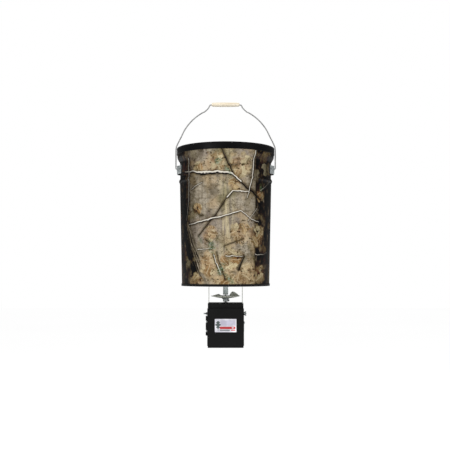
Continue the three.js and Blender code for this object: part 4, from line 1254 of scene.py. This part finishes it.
def build_label():
    height = -66
    flat_print("label_panel", rounded_bar(-16, -0.5, 29.6, 15.8, 1.5), LABEL_PALE, height, 0.02)
    leaf = [(x - 23, z + 2.0) for x, z in leaf_outline(25, 9.0)]
    flat_print("label_leaf", leaf, LABEL_GREY, height, 0.06)
    flat_print("label_stem", rounded_bar(-23.6, -16.5, -22.4, -9.5, 0.5), LABEL_GREY, height, 0.06)
    flat_print("label_band", rounded_bar(-18, -10.8, 29.6, -3.4, 2.5), LABEL_RED, height, 0.06)
    white = MATERIALS["printed_label"]
    flat_print("label_dot", rounded_bar(18.8, -9.0, 24.4, -5.2, 1.8), white, height, 0.1)
    flat_print("label_line", rounded_bar(-18, -15.6, 13, -12.8, 1.0), LABEL_GREY, height, 0.06)
    flat_print("label_tail", rounded_bar(16, -15.6, 29.6, -12.8, 1.0), LABEL_RED, height, 0.06)


# ---------------------------------------------------------------- wiring


def build_leads():
    tab_top = -132.4 + 47 + 0.4 + 7
    for node, slot, side in (("lead_red", "red_wire", 1), ("lead_black", "black_wire", -1)):
        route = [
            (side * 27, -41, tab_top + 0.3), (side * 26, -41, tab_top + 3.3), (side * 19, -41, -73.5),
            (side * 12, -41, -72.6), (side * 10, -41, -70.4), (side * 10, -41, -68.5),
        ]
        path = smooth_path([box_point(*p) for p in route], 8)
        place_piece(wire_piece(f"{node}_wire", path, 1.1 * MM), "hopper", slot, node)
    route = [
        (4, 5, -49.4), (4, 4, -58), (2, -8, -70), (0, -26, -74.5), (0, -37, -73.4), (0, -40, -71),
        (0, -40, -68.5),
    ]
    path = smooth_path([box_point(*p) for p in route], 8)
    place_piece(wire_piece("motor_lead_wire", path, 1.4 * MM), "hopper", "black_wire", "motor_lead")


# ---------------------------------------------------------------- stage, light and camera


ROOM_DIMMING = 0.85                 # how much darker the white room is in reflections
FLOOR_HEIGHT = -1.25
CAMERA_PLACE = (-0.0019, -2.42, -0.519)
CAMERA_AIM = (-0.0019, 0, -0.382)
CAMERA_LENS = 61.7


def build_stage():
    bm = bmesh.new()
    bmesh.ops.create_grid(bm, x_segments=1, y_segments=1, size=12)
    bm.transform(Matrix.Translation((0, 0, FLOOR_HEIGHT)))
    floor = mesh_piece("floor", bm)
    paint = Paint("pale_floor", (0.99, 0.99, 0.99), 0.9, Specular_IOR_Level=0.0)
    cloud = paint.noise(0.6, 2)
    paint.set("Base Color", paint.blend(cloud, (0.98, 0.98, 0.98), (1.0, 1.0, 1.0)))
    floor.data.materials.append(paint.material)

    world = bpy.data.worlds.new("studio")
    bpy.context.scene.world = world
    world.use_nodes = True
    world.node_tree.nodes["Background"].inputs["Color"].default_value = (1, 1, 1, 1)
    # A dark room for reflections, so that the black paint stays black under an even white light.
    rays = world.node_tree.nodes.new("ShaderNodeLightPath")
    strength = Field(world.node_tree, rays.outputs["Is Glossy Ray"]) * -ROOM_DIMMING + 1.0
    world.node_tree.links.new(strength.source, world.node_tree.nodes["Background"].inputs["Strength"])
    bpy.context.scene.view_settings.view_transform = "Standard"

    def lamp(name, place, target, size, power):
        light = bpy.data.lights.new(name, "AREA")
        light.size = size
        light.energy = power
        holder = bpy.data.objects.new(name, light)
        bpy.context.scene.collection.objects.link(holder)
        holder.location = place
        holder.rotation_euler = (Vector(target) - Vector(place)).to_track_quat("-Z", "Y").to_euler()

    lamp("key", (-1.7, -2.3, 0.7), (0, 0, -0.35), 1.2, 14)
    lamp("fill", (1.9, -1.8, -0.1), (0, 0, -0.4), 1.6, 4)
    lamp("top", (0.0, 0.6, 1.8), (0, 0, -0.2), 1.6, 8)


def build_camera():
    camera = bpy.data.cameras.new("camera")
    camera.lens = CAMERA_LENS
    camera.sensor_width = 36
    holder = bpy.data.objects.new("camera", camera)
    bpy.context.scene.collection.objects.link(holder)
    holder.location = CAMERA_PLACE
    aim = Vector(CAMERA_AIM) - Vector(holder.location)
    holder.rotation_euler = aim.to_track_quat("-Z", "Y").to_euler()
    bpy.context.scene.camera = holder


build_bail()
build_pail()
build_lid()
build_ears()
build_tube()
build_straps()
build_edged()
build_box_turned()
build_spinner_plate()
build_label()
build_leads()
build_stage()
build_camera()
